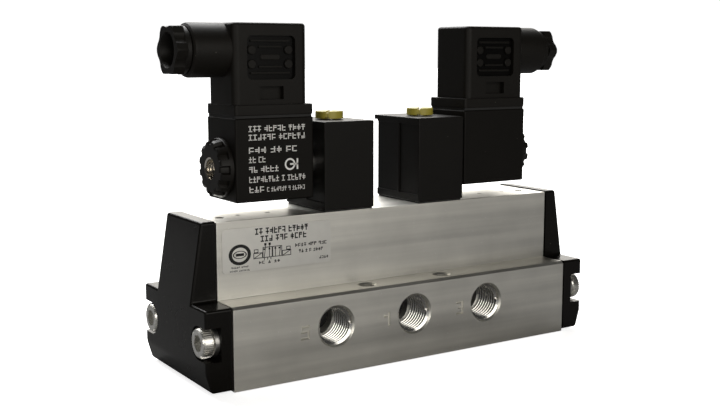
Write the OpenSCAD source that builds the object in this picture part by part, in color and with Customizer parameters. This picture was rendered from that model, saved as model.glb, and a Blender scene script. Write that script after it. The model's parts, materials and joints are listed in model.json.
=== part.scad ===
// Solenoid directional valve, 5/2, two solenoids, G1/4 ports.
// X runs along the spool, -Y is the side with ports 5, 1 and 3, Z is up.
// The origin is on the bottom face, under the middle of the body.
// "right" is the +X end and "left" the -X end. Side parts are drawn on the right.

/* [Valve body] */
// Length of the aluminium body along the spool
body_length = 140; // [136:1:160]
// Depth of the lower part of the body
body_depth = 50; // [49:1:56]
// Height of the lower part, up to the ledge
ledge_height = 27.5; // [27:0.5:30]
// Depth of the upper part of the body
tower_depth = 27.5; // [27:0.5:32]
// Height of the whole body
body_height = 53; // [52:1:60]
// Distance between neighbouring ports on one face
port_pitch = 32; // [32:0.5:34]
// Radius of the threaded port wall, G1/4
port_radius = 6.58; // [6.4:0.01:6.7]
// Height of the spool and port axes
port_height = 16.3; // [15.5:0.1:17]
// Radius of the vertical mounting holes
mounting_radius = 2.75; // [2.2:0.05:3]

/* [End caps] */
// Thickness of a cap over its lower part
cap_thickness = 9.5; // [9:0.5:12]
// Thickness of a cap at its top edge
cap_top_thickness = 5.3; // [4:0.1:8]
// Distance between the two screws of a cap
cap_screw_spacing = 39; // [38.5:0.1:40]

/* [Spool] */
// Radius of the spool bore in the body
bore_radius = 9.5; // [9.3:0.1:9.7]
// Radius of the spool's sealing lands
land_radius = 6; // [5.5:0.1:6.2]
// Travel of the spool between its two ends
spool_stroke = 8; // [7:0.5:8]

/* [Pilot blocks] */
// Distance from the middle to the inner face of a pilot block
pilot_inner_x = 9.6; // [9:0.1:11]
// Width of a pilot block along X
pilot_width = 19.9; // [19.5:0.1:20.5]
// Depth of a pilot block along Y
pilot_depth = 27; // [26:0.5:28]
// Height of the top of a pilot block's cover
pilot_top = 83.6; // [83:0.1:86]
// Thickness of the cover
cover_thickness = 1.7; // [1.5:0.1:2.5]
// How far the cover reaches past the back of its block
cover_overhang = 1.8; // [0:0.1:2]

/* [Solenoids] */
// Height of the armature axis
armature_height = 68.9; // [68:0.1:70]
// X of the inner face of a coil
coil_inner_x = 32.2; // [32:0.1:32.5]
// Length of a coil along its axis
coil_length = 29; // [28.5:0.1:29.5]
// Thickness of a coil along Y
coil_depth = 21.5; // [21:0.1:22.5]
// Height of the underside of a coil
coil_bottom = 58; // [57:0.1:58.5]
// Height of the top of a coil
coil_top = 85.5; // [85:0.1:87]
// Travel of a plunger
plunger_stroke = 1; // [0.6:0.1:1]

/* [Connectors] */
// Height of the top of a connector's housing
connector_top = 114.4; // [114:0.1:118]
// Height of the top of the connector's flange
flange_top = 89.8; // [89:0.1:91]
// Height of the cable gland's axis
gland_height = 107.4; // [106:0.1:107.6]
// Radius of the gland's barrel
gland_radius = 8.85; // [8:0.05:9]
// Radius of the cable entry
cable_radius = 4.2; // [3:0.1:4.5]

/* [Hidden] */
$fn = 64;
// A little extra so that cuts pass through faces
eps = 0.01;
// Clearance of running fits, radial
run = 0.05;
// Gap between faces of parts that turn against each other
turn_gap = 0.15;

body_end = body_length / 2;
half_depth = body_depth / 2;
half_tower = tower_depth / 2;

port_depth = 12;
port_chamfer = 0.6;
passage_radius = 4.5;
front_holes_x = 16;
back_holes_x = 32;
hole_row_y = 19;
hole_chamfer = 0.6;
plug_hole_x = 64.5;
plug_hole_y = 5;
plug_hole_depth = 5;
plug_hole_radius = 1.5;

screw_radius = 3;
screw_length = 14;
head_radius = 5;
head_height = 4;
washer_height = 1.6;
pocket_radius = 5.5;
cap_floor = 4.2;
cap_lift = 0.7;
cap_y = cap_screw_spacing / 2;
cap_end = body_end + cap_thickness;
gasket_height = 0.5;

seal_x = [-40, -24, -8, 8, 24, 40];
seal_width = 2;
spacer_length = port_pitch / 2 - seal_width;
neck_radius = 4;
spool_offset = -spool_stroke / 2;
spool_half = 52;
stud_radius = 3;
piston_width = 6;
piston_radius = bore_radius - run;

air_radius = 1.25;
air_height = 42;
supply_x = 25.9;
pilot_out_x = 14.7;
pilot_outer_x = pilot_inner_x + pilot_width;
pilot_centre_x = pilot_inner_x + pilot_width / 2;
pilot_bottom = body_height + gasket_height;
block_top = pilot_top - cover_thickness;
pilot_screw_places = [[13.4, -10.2], [supply_x, 10.2]];
pilot_screw_radius = 1.75;
pilot_screw_head = 3;
pilot_screw_depth = 8.5;
seat_x = 24.5;
chamber_radius = 4.6;
stem_radius = 2.45;
stem_bottom = 62;
button_radius = 4.9;
button_height = 2.6;
button_gap = 0.3;

tube_radius = 4.5;
tube_bore = 4;
collar_radius = 6.9;
collar_x = 27;
plunger_radius = tube_bore - run;
plunger_x = seat_x + 0.1;
core_x = 49;
plunger_end = core_x - plunger_stroke - 0.1;
pocket_x = 41;
spring_pocket = 1.9;
spring_radius = 1.4;
wire_radius = 0.3;
spring_turns = 7;
coil_outer_x = coil_inner_x + coil_length;
coil_centre_x = coil_inner_x + coil_length / 2;
core_stud_radius = 3;
stud_end = 63.2;
insert_radius = 4.2;
winding_inner = 5.4;
winding_outer = 8.4;
winding_wall = 3;
nut_radius = 9.9;
nut_tip_radius = 8.6;
nut_length = 4.25;
nut_lobes = 12;

seal_thickness = 0.8;
flange_bottom = coil_top + seal_thickness;
housing_inner_x = 33.8;
housing_outer_x = 61;
housing_depth = 19.5;
housing_wall = 2;
housing_round = 2.2;
gland_end = 73.8;
gland_bore = 6.95;
gland_seal_x = 61;
gland_seal_length = 4;
gland_nut_end = 79.5;
gland_nut_flats = 15.2;
terminal_top = 100;
blade_width = 5;
blade_thickness = 0.8;
blade_bottom = 82;
blade_top = 96;
blade_x = [-9.5, 9.5];
connector_screw_radius = 1.5;

LEFT = -1;
RIGHT = 1;

// ---- helpers ----

// Turns a part drawn on the right half a turn about Z for the left side
module turned(side) {
  rotate([0, 0, side == LEFT ? 180 : 0]) children();
}

// Mirrors a part drawn on the right to the left side
module mirrored(side) {
  mirror([side == LEFT ? 1 : 0, 0, 0]) children();
}

// A cylinder along X, from x0 to x1, about the axis at height z
module rod_x(x0, x1, r, z, y = 0) {
  translate([x0, y, z]) rotate([0, 90, 0]) cylinder(h = x1 - x0, r = r);
}

// A ring along X
module ring_x(x0, x1, outer, inner, z) {
  difference() {
    rod_x(x0, x1, outer, z);
    rod_x(x0 - 1, x1 + 1, inner, z);
  }
}

// A box from its low corner to its high corner
module box(low, high) {
  translate(low) cube([high[0] - low[0], high[1] - low[1], high[2] - low[2]]);
}

// A flat outline with rounded corners, centred
module rounded_rectangle(width, height, r) {
  square([width - 2 * r, height], center = true);
  square([width, height - 2 * r], center = true);
  for (sx = [-1, 1], sy = [-1, 1]) {
    translate([sx * (width / 2 - r), sy * (height / 2 - r)]) circle(r = r);
  }
}

// An upright block with rounded vertical edges
module rounded_block(x0, x1, depth, z0, z1, r) {
  translate([(x0 + x1) / 2, 0, z0])
    linear_extrude(z1 - z0) rounded_rectangle(x1 - x0, depth, r);
}

// A profile in the XZ plane given a depth along Y
module slab(depth, outline) {
  translate([0, depth / 2, 0]) rotate([90, 0, 0]) linear_extrude(depth) polygon(outline);
}

// Wire wound along X, from x0 to x1
module helix(x0, x1, r, wire, turns, z) {
  sides = 6;
  steps = turns * 12;
  run_length = x1 - x0 - 2 * wire;
  function centre_x(i) = x0 + wire + run_length * i / steps;
  points = [
    for (i = [0 : steps], j = [0 : sides - 1])
      let (a = 360 * turns * i / steps, b = 360 * j / sides, q = r + wire * cos(b))
      [centre_x(i) + wire * sin(b), q * sin(a), z + q * cos(a)]
  ];
  walls = [
    for (i = [0 : steps - 1], j = [0 : sides - 1])
      let (k = (j + 1) % sides)
      [i * sides + j, i * sides + k, (i + 1) * sides + k, (i + 1) * sides + j]
  ];
  first = [for (j = [sides - 1 : -1 : 0]) j];
  last = [for (j = [0 : sides - 1]) steps * sides + j];
  polyhedron(points, concat(walls, [first, last]));
}

// ---- valve section ----

// A threaded port drawn on the front face, with its passage to the spool bore
module port_cut() {
  rotate([90, 0, 0]) {
    translate([0, 0, half_depth - port_depth]) cylinder(h = port_depth + 1, r = port_radius);
    cylinder(h = half_depth - 1, r = passage_radius);
    translate([0, 0, half_depth - port_chamfer])
      cylinder(h = port_chamfer + eps, r1 = port_radius, r2 = port_radius + port_chamfer);
  }
}

// A vertical hole through the ledge, chamfered at the top
module mounting_cut() {
  translate([0, 0, -1]) cylinder(h = ledge_height + 2, r = mounting_radius);
  translate([0, 0, ledge_height - hole_chamfer])
    cylinder(h = hole_chamfer + eps, r1 = mounting_radius, r2 = mounting_radius + hole_chamfer);
}

// Holes in the top for one pilot: its two air passages and its screws
module pilot_top_cuts() {
  for (x = [supply_x, pilot_out_x]) {
    translate([x, 0, air_height]) cylinder(h = body_height - air_height + 1, r = air_radius);
  }
  for (place = pilot_screw_places) {
    translate([place[0], place[1], body_height - pilot_screw_depth])
      cylinder(h = pilot_screw_depth + 1, r = pilot_screw_radius);
  }
  rod_x(pilot_out_x, body_end + 1, air_radius, air_height);
}

module valve_body() {
  edge = 0.9;
  half_spacing = port_pitch / 2;
  color([0.70, 0.69, 0.66]) difference() {
    rotate([90, 0, 90]) translate([0, 0, -body_end]) linear_extrude(body_length)
      polygon([
        [-half_depth, 0], [half_depth, 0],
        [half_depth, ledge_height - edge], [half_depth - edge, ledge_height],
        [half_tower, ledge_height], [half_tower, body_height],
        [-half_tower, body_height], [-half_tower, ledge_height],
        [-half_depth + edge, ledge_height], [-half_depth, ledge_height - edge]
      ]);
    rod_x(-body_end - 1, body_end + 1, bore_radius, port_height);
    for (x = [-port_pitch, 0, port_pitch]) translate([x, 0, port_height]) port_cut();
    for (x = [-half_spacing, half_spacing]) {
      translate([x, 0, port_height]) rotate([0, 0, 180]) port_cut();
    }
    for (s = [-1, 1]) {
      translate([s * front_holes_x, -hole_row_y, 0]) mounting_cut();
      translate([s * back_holes_x, hole_row_y, 0]) mounting_cut();
      translate([s * plug_hole_x, -plug_hole_y, body_height - plug_hole_depth])
        cylinder(h = plug_hole_depth + 1, r = plug_hole_radius);
    }
    for (side = [LEFT, RIGHT]) mirrored(side) {
      pilot_top_cuts();
      for (s = [-1, 1]) {
        rod_x(body_end - screw_length, body_end + 1, screw_radius, port_height, s * cap_y);
      }
    }
  }
}

// The open-sided pocket in an end cap that holds one screw head
module screw_pocket(s) {
  x = body_end + cap_floor;
  rod_x(x, cap_end + 1, pocket_radius, port_height, s * cap_y);
  outer = s * (half_depth + 1);
  inner = s * cap_y;
  box([x, min(inner, outer), port_height - pocket_radius],
      [cap_end + 1, max(inner, outer), port_height + pocket_radius]);
  rod_x(body_end - 1, x + 1, screw_radius + 0.2, port_height, s * cap_y);
}

module end_cap(side) {
  chamfer_x = 1.9;
  chamfer_z = 6.5;
  top = body_height + 0.4;
  x0 = body_end + gasket_height;
  spigot = 6;
  color([0.09, 0.09, 0.085]) turned(side) difference() {
    union() {
      slab(body_depth, [
        [x0, cap_lift], [cap_end - chamfer_x, cap_lift],
        [cap_end, cap_lift + chamfer_z], [cap_end, ledge_height], [x0, ledge_height]
      ]);
      slab(tower_depth + 0.3, [
        [x0, ledge_height - 1], [cap_end, ledge_height - 1], [cap_end, ledge_height],
        [body_end + cap_top_thickness, top], [x0, top]
      ]);
      rod_x(body_end - spigot, x0 + 1, bore_radius - run, port_height);
    }
    for (s = [-1, 1]) screw_pocket(s);
    // Air way from the pilot down to the piston
    rod_x(x0 - 1, body_end + 3, air_radius, air_height);
    translate([body_end + 2, 0, port_height]) cylinder(h = air_height - port_height, r = air_radius);
    rod_x(body_end - spigot - 1, body_end + 3, air_radius, port_height);
  }
}

module end_gaskets() {
  color([0.06, 0.06, 0.06]) for (side = [LEFT, RIGHT]) turned(side) {
    difference() {
      union() {
        box([body_end, -half_depth + 1, 1.5],
            [body_end + gasket_height, half_depth - 1, ledge_height - 1]);
        box([body_end, -half_tower + 1, ledge_height - 1.5],
            [body_end + gasket_height, half_tower - 1, body_height - 1]);
      }
      rod_x(body_end - 1, body_end + 2, bore_radius + run, port_height);
      rod_x(body_end - 1, body_end + 2, air_radius + run, air_height);
      for (s = [-1, 1]) {
        rod_x(body_end - 1, body_end + 2, screw_radius + 0.2, port_height, s * cap_y);
      }
    }
  }
}

module cap_screws() {
  x0 = body_end + cap_floor + washer_height;
  color([0.72, 0.72, 0.70]) for (side = [LEFT, RIGHT], s = [-1, 1]) turned(side) {
    difference() {
      union() {
        rod_x(x0, x0 + head_height, head_radius, port_height, s * cap_y);
        rod_x(body_end - screw_length + 2, x0 + 1, screw_radius - run, port_height, s * cap_y);
      }
      translate([x0 + head_height - 2.2, s * cap_y, port_height])
        rotate([0, 90, 0]) cylinder(h = 3, r = 2.9, $fn = 6);
    }
  }
}

module spring_washers() {
  x0 = body_end + cap_floor;
  color([0.6, 0.6, 0.58]) for (side = [LEFT, RIGHT], s = [-1, 1]) turned(side) {
    difference() {
      rod_x(x0, x0 + washer_height, head_radius - 0.2, port_height, s * cap_y);
      rod_x(x0 - 1, x0 + washer_height + 1, screw_radius + run, port_height, s * cap_y);
    }
  }
}

module spool() {
  side_neck = [24.5, 31.5];
  middle_neck = 7.5;
  slope = 1;
  // Half of the profile, from the middle outwards: [radius, x]
  half = [
    [neck_radius, middle_neck - slope], [land_radius, middle_neck],
    [land_radius, side_neck[0]], [neck_radius, side_neck[0] + slope],
    [neck_radius, side_neck[1] - slope], [land_radius, side_neck[1]],
    [land_radius, spool_half], [stud_radius, spool_half],
    [stud_radius, spool_half + piston_width], [0, spool_half + piston_width]
  ];
  other_half = [for (i = [len(half) - 1 : -1 : 0]) [half[i][0], -half[i][1]]];
  color([0.75, 0.75, 0.76]) translate([spool_offset, 0, port_height]) rotate([0, 90, 0])
    rotate_extrude() polygon(concat(other_half, half));
}

module spool_spacers() {
  bush_end = 45;
  color([0.78, 0.66, 0.38]) {
    for (x = [-port_pitch, -port_pitch / 2, 0, port_pitch / 2, port_pitch]) {
      difference() {
        ring_x(x - spacer_length / 2, x + spacer_length / 2, bore_radius - 0.02,
               land_radius + 0.3, port_height);
        for (a = [0 : 60 : 300]) {
          translate([x, 0, port_height]) rotate([a, 0, 0]) translate([0, 0, neck_radius])
            cylinder(h = bore_radius, r = 1.9);
        }
      }
    }
    for (side = [LEFT, RIGHT]) turned(side) {
      ring_x(41, bush_end, bore_radius - 0.02, land_radius + 0.3, port_height);
    }
  }
}

module spool_seals() {
  color([0.12, 0.12, 0.12]) for (x = seal_x) {
    ring_x(x - seal_width / 2 + 0.02, x + seal_width / 2 - 0.02, bore_radius - 0.02,
           land_radius + run, port_height);
  }
}

module piston(side) {
  shift = side == LEFT ? -spool_offset : spool_offset;
  groove = 2;
  x0 = spool_half;
  color([0.15, 0.15, 0.16]) turned(side) translate([shift, 0, 0]) difference() {
    rod_x(x0, x0 + piston_width, piston_radius, port_height);
    rod_x(x0 - 1, x0 + piston_width + 1, stud_radius + eps, port_height);
    ring_x(x0 + groove, x0 + 2 * groove, bore_radius + 1, piston_radius - 1.4, port_height);
  }
}

module piston_seals() {
  color([0.1, 0.1, 0.1]) for (side = [LEFT, RIGHT]) {
    shift = side == LEFT ? -spool_offset : spool_offset;
    turned(side) translate([shift, 0, 0])
      ring_x(spool_half + 2.05, spool_half + 3.95, piston_radius + 0.02,
             piston_radius - 1.35, port_height);
  }
}

module nameplate() {
  width = 40.6;
  height = 14.5;
  centre_x = -47.9;
  centre_z = 43.25;
  thickness = 0.2;
  color([0.76, 0.76, 0.74]) translate([centre_x, -half_tower, centre_z])
    rotate([90, 0, 0]) linear_extrude(thickness) rounded_rectangle(width, height, 1.2);
}

// ---- pilot valve ----

module pilot_block(side) {
  half = pilot_depth / 2;
  color([0.08, 0.08, 0.075]) mirrored(side) difference() {
    box([pilot_inner_x, -half, pilot_bottom], [pilot_outer_x, half, block_top]);
    // Shallow panels in the two side faces
    for (x = [pilot_inner_x, pilot_outer_x]) {
      box([x - 0.5, -half + 1.4, pilot_bottom + 2.5], [x + 0.5, -0.8, block_top - 0.6]);
      box([x - 0.5, 0.8, pilot_bottom + 2.5], [x + 0.5, half + 1, block_top - 0.6]);
    }
    rod_x(seat_x, pilot_outer_x + 1, chamber_radius, armature_height);
    rod_x(collar_x, pilot_outer_x + 1, collar_radius + run, armature_height);
    rod_x(pilot_out_x, seat_x + 1, 0.8, armature_height);
    translate([pilot_out_x, 0, pilot_bottom - 1])
      cylinder(h = armature_height - pilot_bottom + 1, r = air_radius);
    translate([supply_x, 0, pilot_bottom - 1])
      cylinder(h = armature_height - pilot_bottom, r = air_radius);
    translate([pilot_centre_x, 0, stem_bottom])
      cylinder(h = block_top - stem_bottom + 1, r = stem_radius + run);
    for (place = pilot_screw_places) translate([place[0], place[1], 0]) {
      translate([0, 0, pilot_bottom - 1]) cylinder(h = 40, r = pilot_screw_radius + 0.1);
      translate([0, 0, block_top - pilot_screw_head])
        cylinder(h = pilot_screw_head + 1, r = pilot_screw_head + 0.1);
    }
  }
}

module pilot_cover(side) {
  half = pilot_depth / 2;
  color([0.08, 0.08, 0.075]) mirrored(side) difference() {
    box([pilot_inner_x, -half, block_top], [pilot_outer_x, half + cover_overhang, pilot_top]);
    translate([pilot_centre_x, 0, block_top - 1])
      cylinder(h = cover_thickness + 2, r = stem_radius + run);
  }
}

module pilot_gasket(side) {
  half = pilot_depth / 2 - 0.5;
  color([0.05, 0.05, 0.05]) mirrored(side) difference() {
    box([pilot_inner_x + 0.5, -half, body_height],
        [pilot_outer_x - 0.5, half, body_height + gasket_height]);
    for (x = [supply_x, pilot_out_x]) {
      translate([x, 0, body_height - 1]) cylinder(h = 3, r = air_radius);
    }
    for (place = pilot_screw_places) {
      translate([place[0], place[1], body_height - 1]) cylinder(h = 3, r = pilot_screw_radius + 0.1);
    }
  }
}

module pilot_screws(side) {
  head_bottom = block_top - pilot_screw_head;
  tip = body_height - pilot_screw_depth + 0.5;
  color([0.7, 0.7, 0.68]) mirrored(side) for (place = pilot_screw_places) {
    translate([place[0], place[1], 0]) difference() {
      union() {
        translate([0, 0, tip]) cylinder(h = head_bottom - tip + 1, r = pilot_screw_radius - run);
        translate([0, 0, head_bottom])
          cylinder(h = pilot_screw_head - 0.1, r = pilot_screw_head);
      }
      translate([0, 0, block_top - 1.6]) cylinder(h = 2, r = 1.6, $fn = 6);
    }
  }
}

module override_button(side) {
  bottom = pilot_top + button_gap;
  slot_width = 1.5;
  slot_depth = 1.1;
  color([0.78, 0.72, 0.2]) turned(side) translate([pilot_centre_x, 0, bottom])
    difference() {
      cylinder(h = button_height, r = button_radius);
      translate([0, 0, -1]) cylinder(h = 2.2, r = stem_radius);
      // Screwdriver slot, right across
      rotate([0, 0, 50]) translate([-button_radius - 1, -slot_width / 2, button_height - slot_depth])
        cube([2 * button_radius + 2, slot_width, 2]);
    }
}

module override_stem(side) {
  top = pilot_top + button_gap + 1.2;
  color([0.72, 0.72, 0.7]) turned(side) translate([pilot_centre_x, 0, 0]) difference() {
    translate([0, 0, stem_bottom + 0.2]) cylinder(h = top - stem_bottom - 0.2, r = stem_radius);
    translate([0, 0, armature_height]) rotate([90, 0, 0])
      cylinder(h = 4 * stem_radius, r = 0.8, center = true);
    // O-ring groove
    translate([0, 0, 76]) difference() {
      cylinder(h = 1.5, r = stem_radius + 1);
      translate([0, 0, -1]) cylinder(h = 4, r = stem_radius - 0.7);
    }
  }
}

module armature_tube(side) {
  color([0.74, 0.74, 0.72]) turned(side) difference() {
    union() {
      rod_x(collar_x, coil_inner_x, collar_radius, armature_height);
      rod_x(collar_x, coil_outer_x - 1, tube_radius, armature_height);
    }
    rod_x(collar_x - 1, coil_outer_x + 1, tube_bore, armature_height);
  }
}

module fixed_core(side) {
  color([0.62, 0.62, 0.6]) turned(side) {
    rod_x(core_x, coil_outer_x, tube_bore - 0.02, armature_height);
    rod_x(coil_outer_x - 1, stud_end, core_stud_radius, armature_height);
  }
}

module plunger(side) {
  color([0.6, 0.6, 0.6]) turned(side) difference() {
    rod_x(plunger_x + 0.3, plunger_end, plunger_radius, armature_height);
    rod_x(plunger_x - 1, plunger_x + 2, 2, armature_height);
    rod_x(pocket_x, plunger_end + 1, spring_pocket, armature_height);
  }
}

module plunger_seal(side) {
  color([0.15, 0.15, 0.15]) turned(side) rod_x(plunger_x, plunger_x + 2, 1.98, armature_height);
}

module plunger_spring(side) {
  color([0.7, 0.7, 0.7]) turned(side)
    helix(pocket_x + 0.05, core_x - 0.05, spring_radius, wire_radius, spring_turns,
          armature_height);
}

module coil_slots(grow) {
  for (x = blade_x) {
    box([coil_centre_x + x - blade_thickness / 2 - grow, -blade_width / 2 - grow, blade_bottom],
        [coil_centre_x + x + blade_thickness / 2 + grow, blade_width / 2 + grow, blade_top]);
  }
  box([coil_centre_x + 4 - blade_width / 2 - grow, 5 - grow, blade_bottom],
      [coil_centre_x + 4 + blade_width / 2 + grow, 5 + blade_thickness + grow, blade_top]);
}

module coil(side) {
  color([0.075, 0.07, 0.065]) turned(side) difference() {
    rounded_block(coil_inner_x, coil_outer_x, coil_depth, coil_bottom, coil_top, 0.6);
    rod_x(coil_inner_x - 1, coil_outer_x + 1, tube_radius + run, armature_height);
    ring_x(coil_inner_x + winding_wall, coil_outer_x - winding_wall, winding_outer,
           winding_inner, armature_height);
    coil_slots(run);
    translate([coil_centre_x, 0, coil_top - 6]) cylinder(h = 7, r = connector_screw_radius);
  }
}

module coil_winding(side) {
  gap = 0.02;
  color([0.72, 0.42, 0.22]) turned(side)
    ring_x(coil_inner_x + winding_wall + gap, coil_outer_x - winding_wall - gap,
           winding_outer - gap, winding_inner + gap, armature_height);
}

module coil_nut(side) {
  x0 = coil_outer_x + turn_gap;
  color([0.07, 0.07, 0.065]) turned(side) difference() {
    translate([x0, 0, armature_height]) rotate([0, 90, 0])
      cylinder(h = nut_length, r1 = nut_radius, r2 = nut_tip_radius);
    rod_x(x0 - 1, x0 + nut_length + 1, insert_radius, armature_height);
    for (i = [0 : nut_lobes - 1]) {
      translate([x0 + 1.4, 0, armature_height]) rotate([i * 360 / nut_lobes, 0, 0])
        translate([0, 0, nut_radius + 0.2]) rotate([0, 90, 0]) cylinder(h = 4, r = 1.6);
    }
  }
}

// Threaded metal bush moulded into the coil nut
module coil_nut_insert(side) {
  x0 = coil_outer_x + turn_gap;
  color([0.7, 0.68, 0.62]) turned(side)
    ring_x(x0, x0 + nut_length - 0.3, insert_radius - 0.02, core_stud_radius + run,
           armature_height);
}

module contact_blades(side) {
  color([0.8, 0.78, 0.7]) turned(side) coil_slots(0);
}

// ---- connector ----

module connector_gasket(side) {
  inset = 0.3;
  color([0.05, 0.05, 0.05]) turned(side) difference() {
    rounded_block(coil_inner_x + inset, coil_outer_x - inset, coil_depth - 2 * inset,
                  coil_top, flange_bottom, 0.6);
    coil_slots(run);
    translate([coil_centre_x, 0, coil_top - 1]) cylinder(h = 4, r = connector_screw_radius + 0.1);
  }
}

module connector(side) {
  // The recessed window is on the front of both connectors
  face = side == LEFT ? housing_depth / 2 : -housing_depth / 2;
  window_x = [38.4, 56.1];
  window_z = [97.9, 112.1];
  window_depth = 0.9;
  snap_x = [42.9, 51.6];
  snap_z = [91.4, 95.7];
  screw_top = connector_top - 3.2;
  color([0.085, 0.08, 0.075]) turned(side) difference() {
    union() {
      rounded_block(coil_inner_x, coil_outer_x, coil_depth, flange_bottom, flange_top, 1);
      rounded_block(housing_inner_x, housing_outer_x, housing_depth, flange_top - 1,
                    connector_top, housing_round);
      rod_x(housing_outer_x - 8, gland_end - 1.1, gland_radius, gland_height);
      translate([gland_end - 1.1 - eps, 0, gland_height]) rotate([0, 90, 0])
        cylinder(h = 1.1 + eps, r1 = gland_radius, r2 = gland_radius - 0.9);
    }
    box([housing_inner_x + housing_wall, -housing_depth / 2 + housing_wall, flange_bottom - 1],
        [housing_outer_x - housing_wall, housing_depth / 2 - housing_wall,
         connector_top - 2 * housing_wall]);
    box([window_x[0], face - window_depth, window_z[0]],
        [window_x[1], face + window_depth, window_z[1]]);
    for (s = [-1, 1]) {
      box([snap_x[0], s * housing_depth / 2 - 2.5, snap_z[0]],
          [snap_x[1], s * housing_depth / 2 + 2.5, snap_z[1]]);
    }
    rod_x(gland_seal_x - 3, gland_end + 1, cable_radius, gland_height);
    rod_x(gland_seal_x, gland_end + 1, gland_bore, gland_height);
    translate([coil_centre_x, 0, screw_top - 5])
      cylinder(h = 12, r = connector_screw_radius + 0.1);
    translate([coil_centre_x, 0, screw_top]) cylinder(h = 6, r = 3);
  }
}

module terminal_block(side) {
  gap = 0.1;
  color([0.1, 0.1, 0.1]) turned(side) difference() {
    box([housing_inner_x + housing_wall + gap, -housing_depth / 2 + housing_wall + gap,
         flange_bottom],
        [housing_outer_x - housing_wall - gap, housing_depth / 2 - housing_wall - gap,
         terminal_top]);
    coil_slots(gap);
    translate([coil_centre_x, 0, flange_bottom - 1])
      cylinder(h = 20, r = connector_screw_radius + 0.1);
    for (x = blade_x) translate([coil_centre_x + x * 0.72, 0, blade_top + 0.5])
      cylinder(h = 6, r = 1.6);
  }
}

module connector_screw(side) {
  head_top = connector_top - 0.5;
  tip = coil_top - 5.5;
  color([0.72, 0.72, 0.7]) turned(side) translate([coil_centre_x, 0, 0]) difference() {
    union() {
      translate([0, 0, tip]) cylinder(h = head_top - 2 - tip, r = connector_screw_radius - run);
      translate([0, 0, connector_top - 3.2]) cylinder(h = 2.7, r = 2.8);
    }
    translate([-3, -0.4, head_top - 1.2]) cube([6, 0.8, 2]);
  }
}

module gland_seal(side) {
  color([0.12, 0.12, 0.12]) turned(side)
    ring_x(gland_seal_x + 0.02, gland_seal_x + gland_seal_length, gland_bore - 0.1,
           cable_radius, gland_height);
}

module gland_washer(side) {
  x0 = gland_seal_x + gland_seal_length;
  color([0.7, 0.7, 0.68]) turned(side)
    ring_x(x0 + 0.02, x0 + 0.8, gland_bore - 0.1, cable_radius, gland_height);
}

module gland_nut(side) {
  x0 = gland_end + turn_gap;
  barrel_x = gland_seal_x + gland_seal_length + 0.8 + turn_gap;
  across_corners = gland_nut_flats / cos(30);
  collar_length = 1.75;
  nut_collar_radius = 7.8;
  color([0.08, 0.08, 0.075]) turned(side) difference() {
    union() {
      translate([x0 + collar_length, 0, gland_height]) rotate([0, 90, 0]) rotate([0, 0, 90])
        cylinder(h = gland_nut_end - x0 - collar_length, r = across_corners / 2, $fn = 6);
      rod_x(x0, x0 + collar_length + eps, nut_collar_radius, gland_height);
      rod_x(barrel_x, x0 + 1, gland_bore - run, gland_height);
    }
    rod_x(barrel_x - 1, gland_nut_end + 1, cable_radius, gland_height);
  }
}

valve_body();
end_cap(LEFT);  // end_cap_left
end_cap(RIGHT);  // end_cap_right
end_gaskets();
cap_screws();
spring_washers();
spool();
spool_spacers();
spool_seals();
piston(LEFT);  // piston_left
piston(RIGHT);  // piston_right
piston_seals();
nameplate();
pilot_block(LEFT);  // pilot_block_left
pilot_cover(LEFT);  // pilot_cover_left
pilot_gasket(LEFT);  // pilot_gasket_left
pilot_screws(LEFT);  // pilot_screws_left
override_button(LEFT);  // override_button_left
override_stem(LEFT);  // override_stem_left
armature_tube(LEFT);  // armature_tube_left
fixed_core(LEFT);  // fixed_core_left
plunger(LEFT);  // plunger_left
plunger_seal(LEFT);  // plunger_seal_left
plunger_spring(LEFT);  // plunger_spring_left
coil(LEFT);  // coil_left
coil_winding(LEFT);  // coil_winding_left
coil_nut(LEFT);  // coil_nut_left
coil_nut_insert(LEFT);  // coil_nut_insert_left
contact_blades(LEFT);  // contact_blades_left
connector_gasket(LEFT);  // connector_gasket_left
connector(LEFT);  // connector_left
terminal_block(LEFT);  // terminal_block_left
connector_screw(LEFT);  // connector_screw_left
gland_seal(LEFT);  // gland_seal_left
gland_washer(LEFT);  // gland_washer_left
gland_nut(LEFT);  // gland_nut_left
pilot_block(RIGHT);  // pilot_block_right
pilot_cover(RIGHT);  // pilot_cover_right
pilot_gasket(RIGHT);  // pilot_gasket_right
pilot_screws(RIGHT);  // pilot_screws_right
override_button(RIGHT);  // override_button_right
override_stem(RIGHT);  // override_stem_right
armature_tube(RIGHT);  // armature_tube_right
fixed_core(RIGHT);  // fixed_core_right
plunger(RIGHT);  // plunger_right
plunger_seal(RIGHT);  // plunger_seal_right
plunger_spring(RIGHT);  // plunger_spring_right
coil(RIGHT);  // coil_right
coil_winding(RIGHT);  // coil_winding_right
coil_nut(RIGHT);  // coil_nut_right
coil_nut_insert(RIGHT);  // coil_nut_insert_right
contact_blades(RIGHT);  // contact_blades_right
connector_gasket(RIGHT);  // connector_gasket_right
connector(RIGHT);  // connector_right
terminal_block(RIGHT);  // terminal_block_right
connector_screw(RIGHT);  // connector_screw_right
gland_seal(RIGHT);  // gland_seal_right
gland_washer(RIGHT);  // gland_washer_right
gland_nut(RIGHT);  // gland_nut_right
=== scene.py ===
"""Outer pieces, finishes and stage of a 5/2 solenoid directional valve."""

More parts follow.
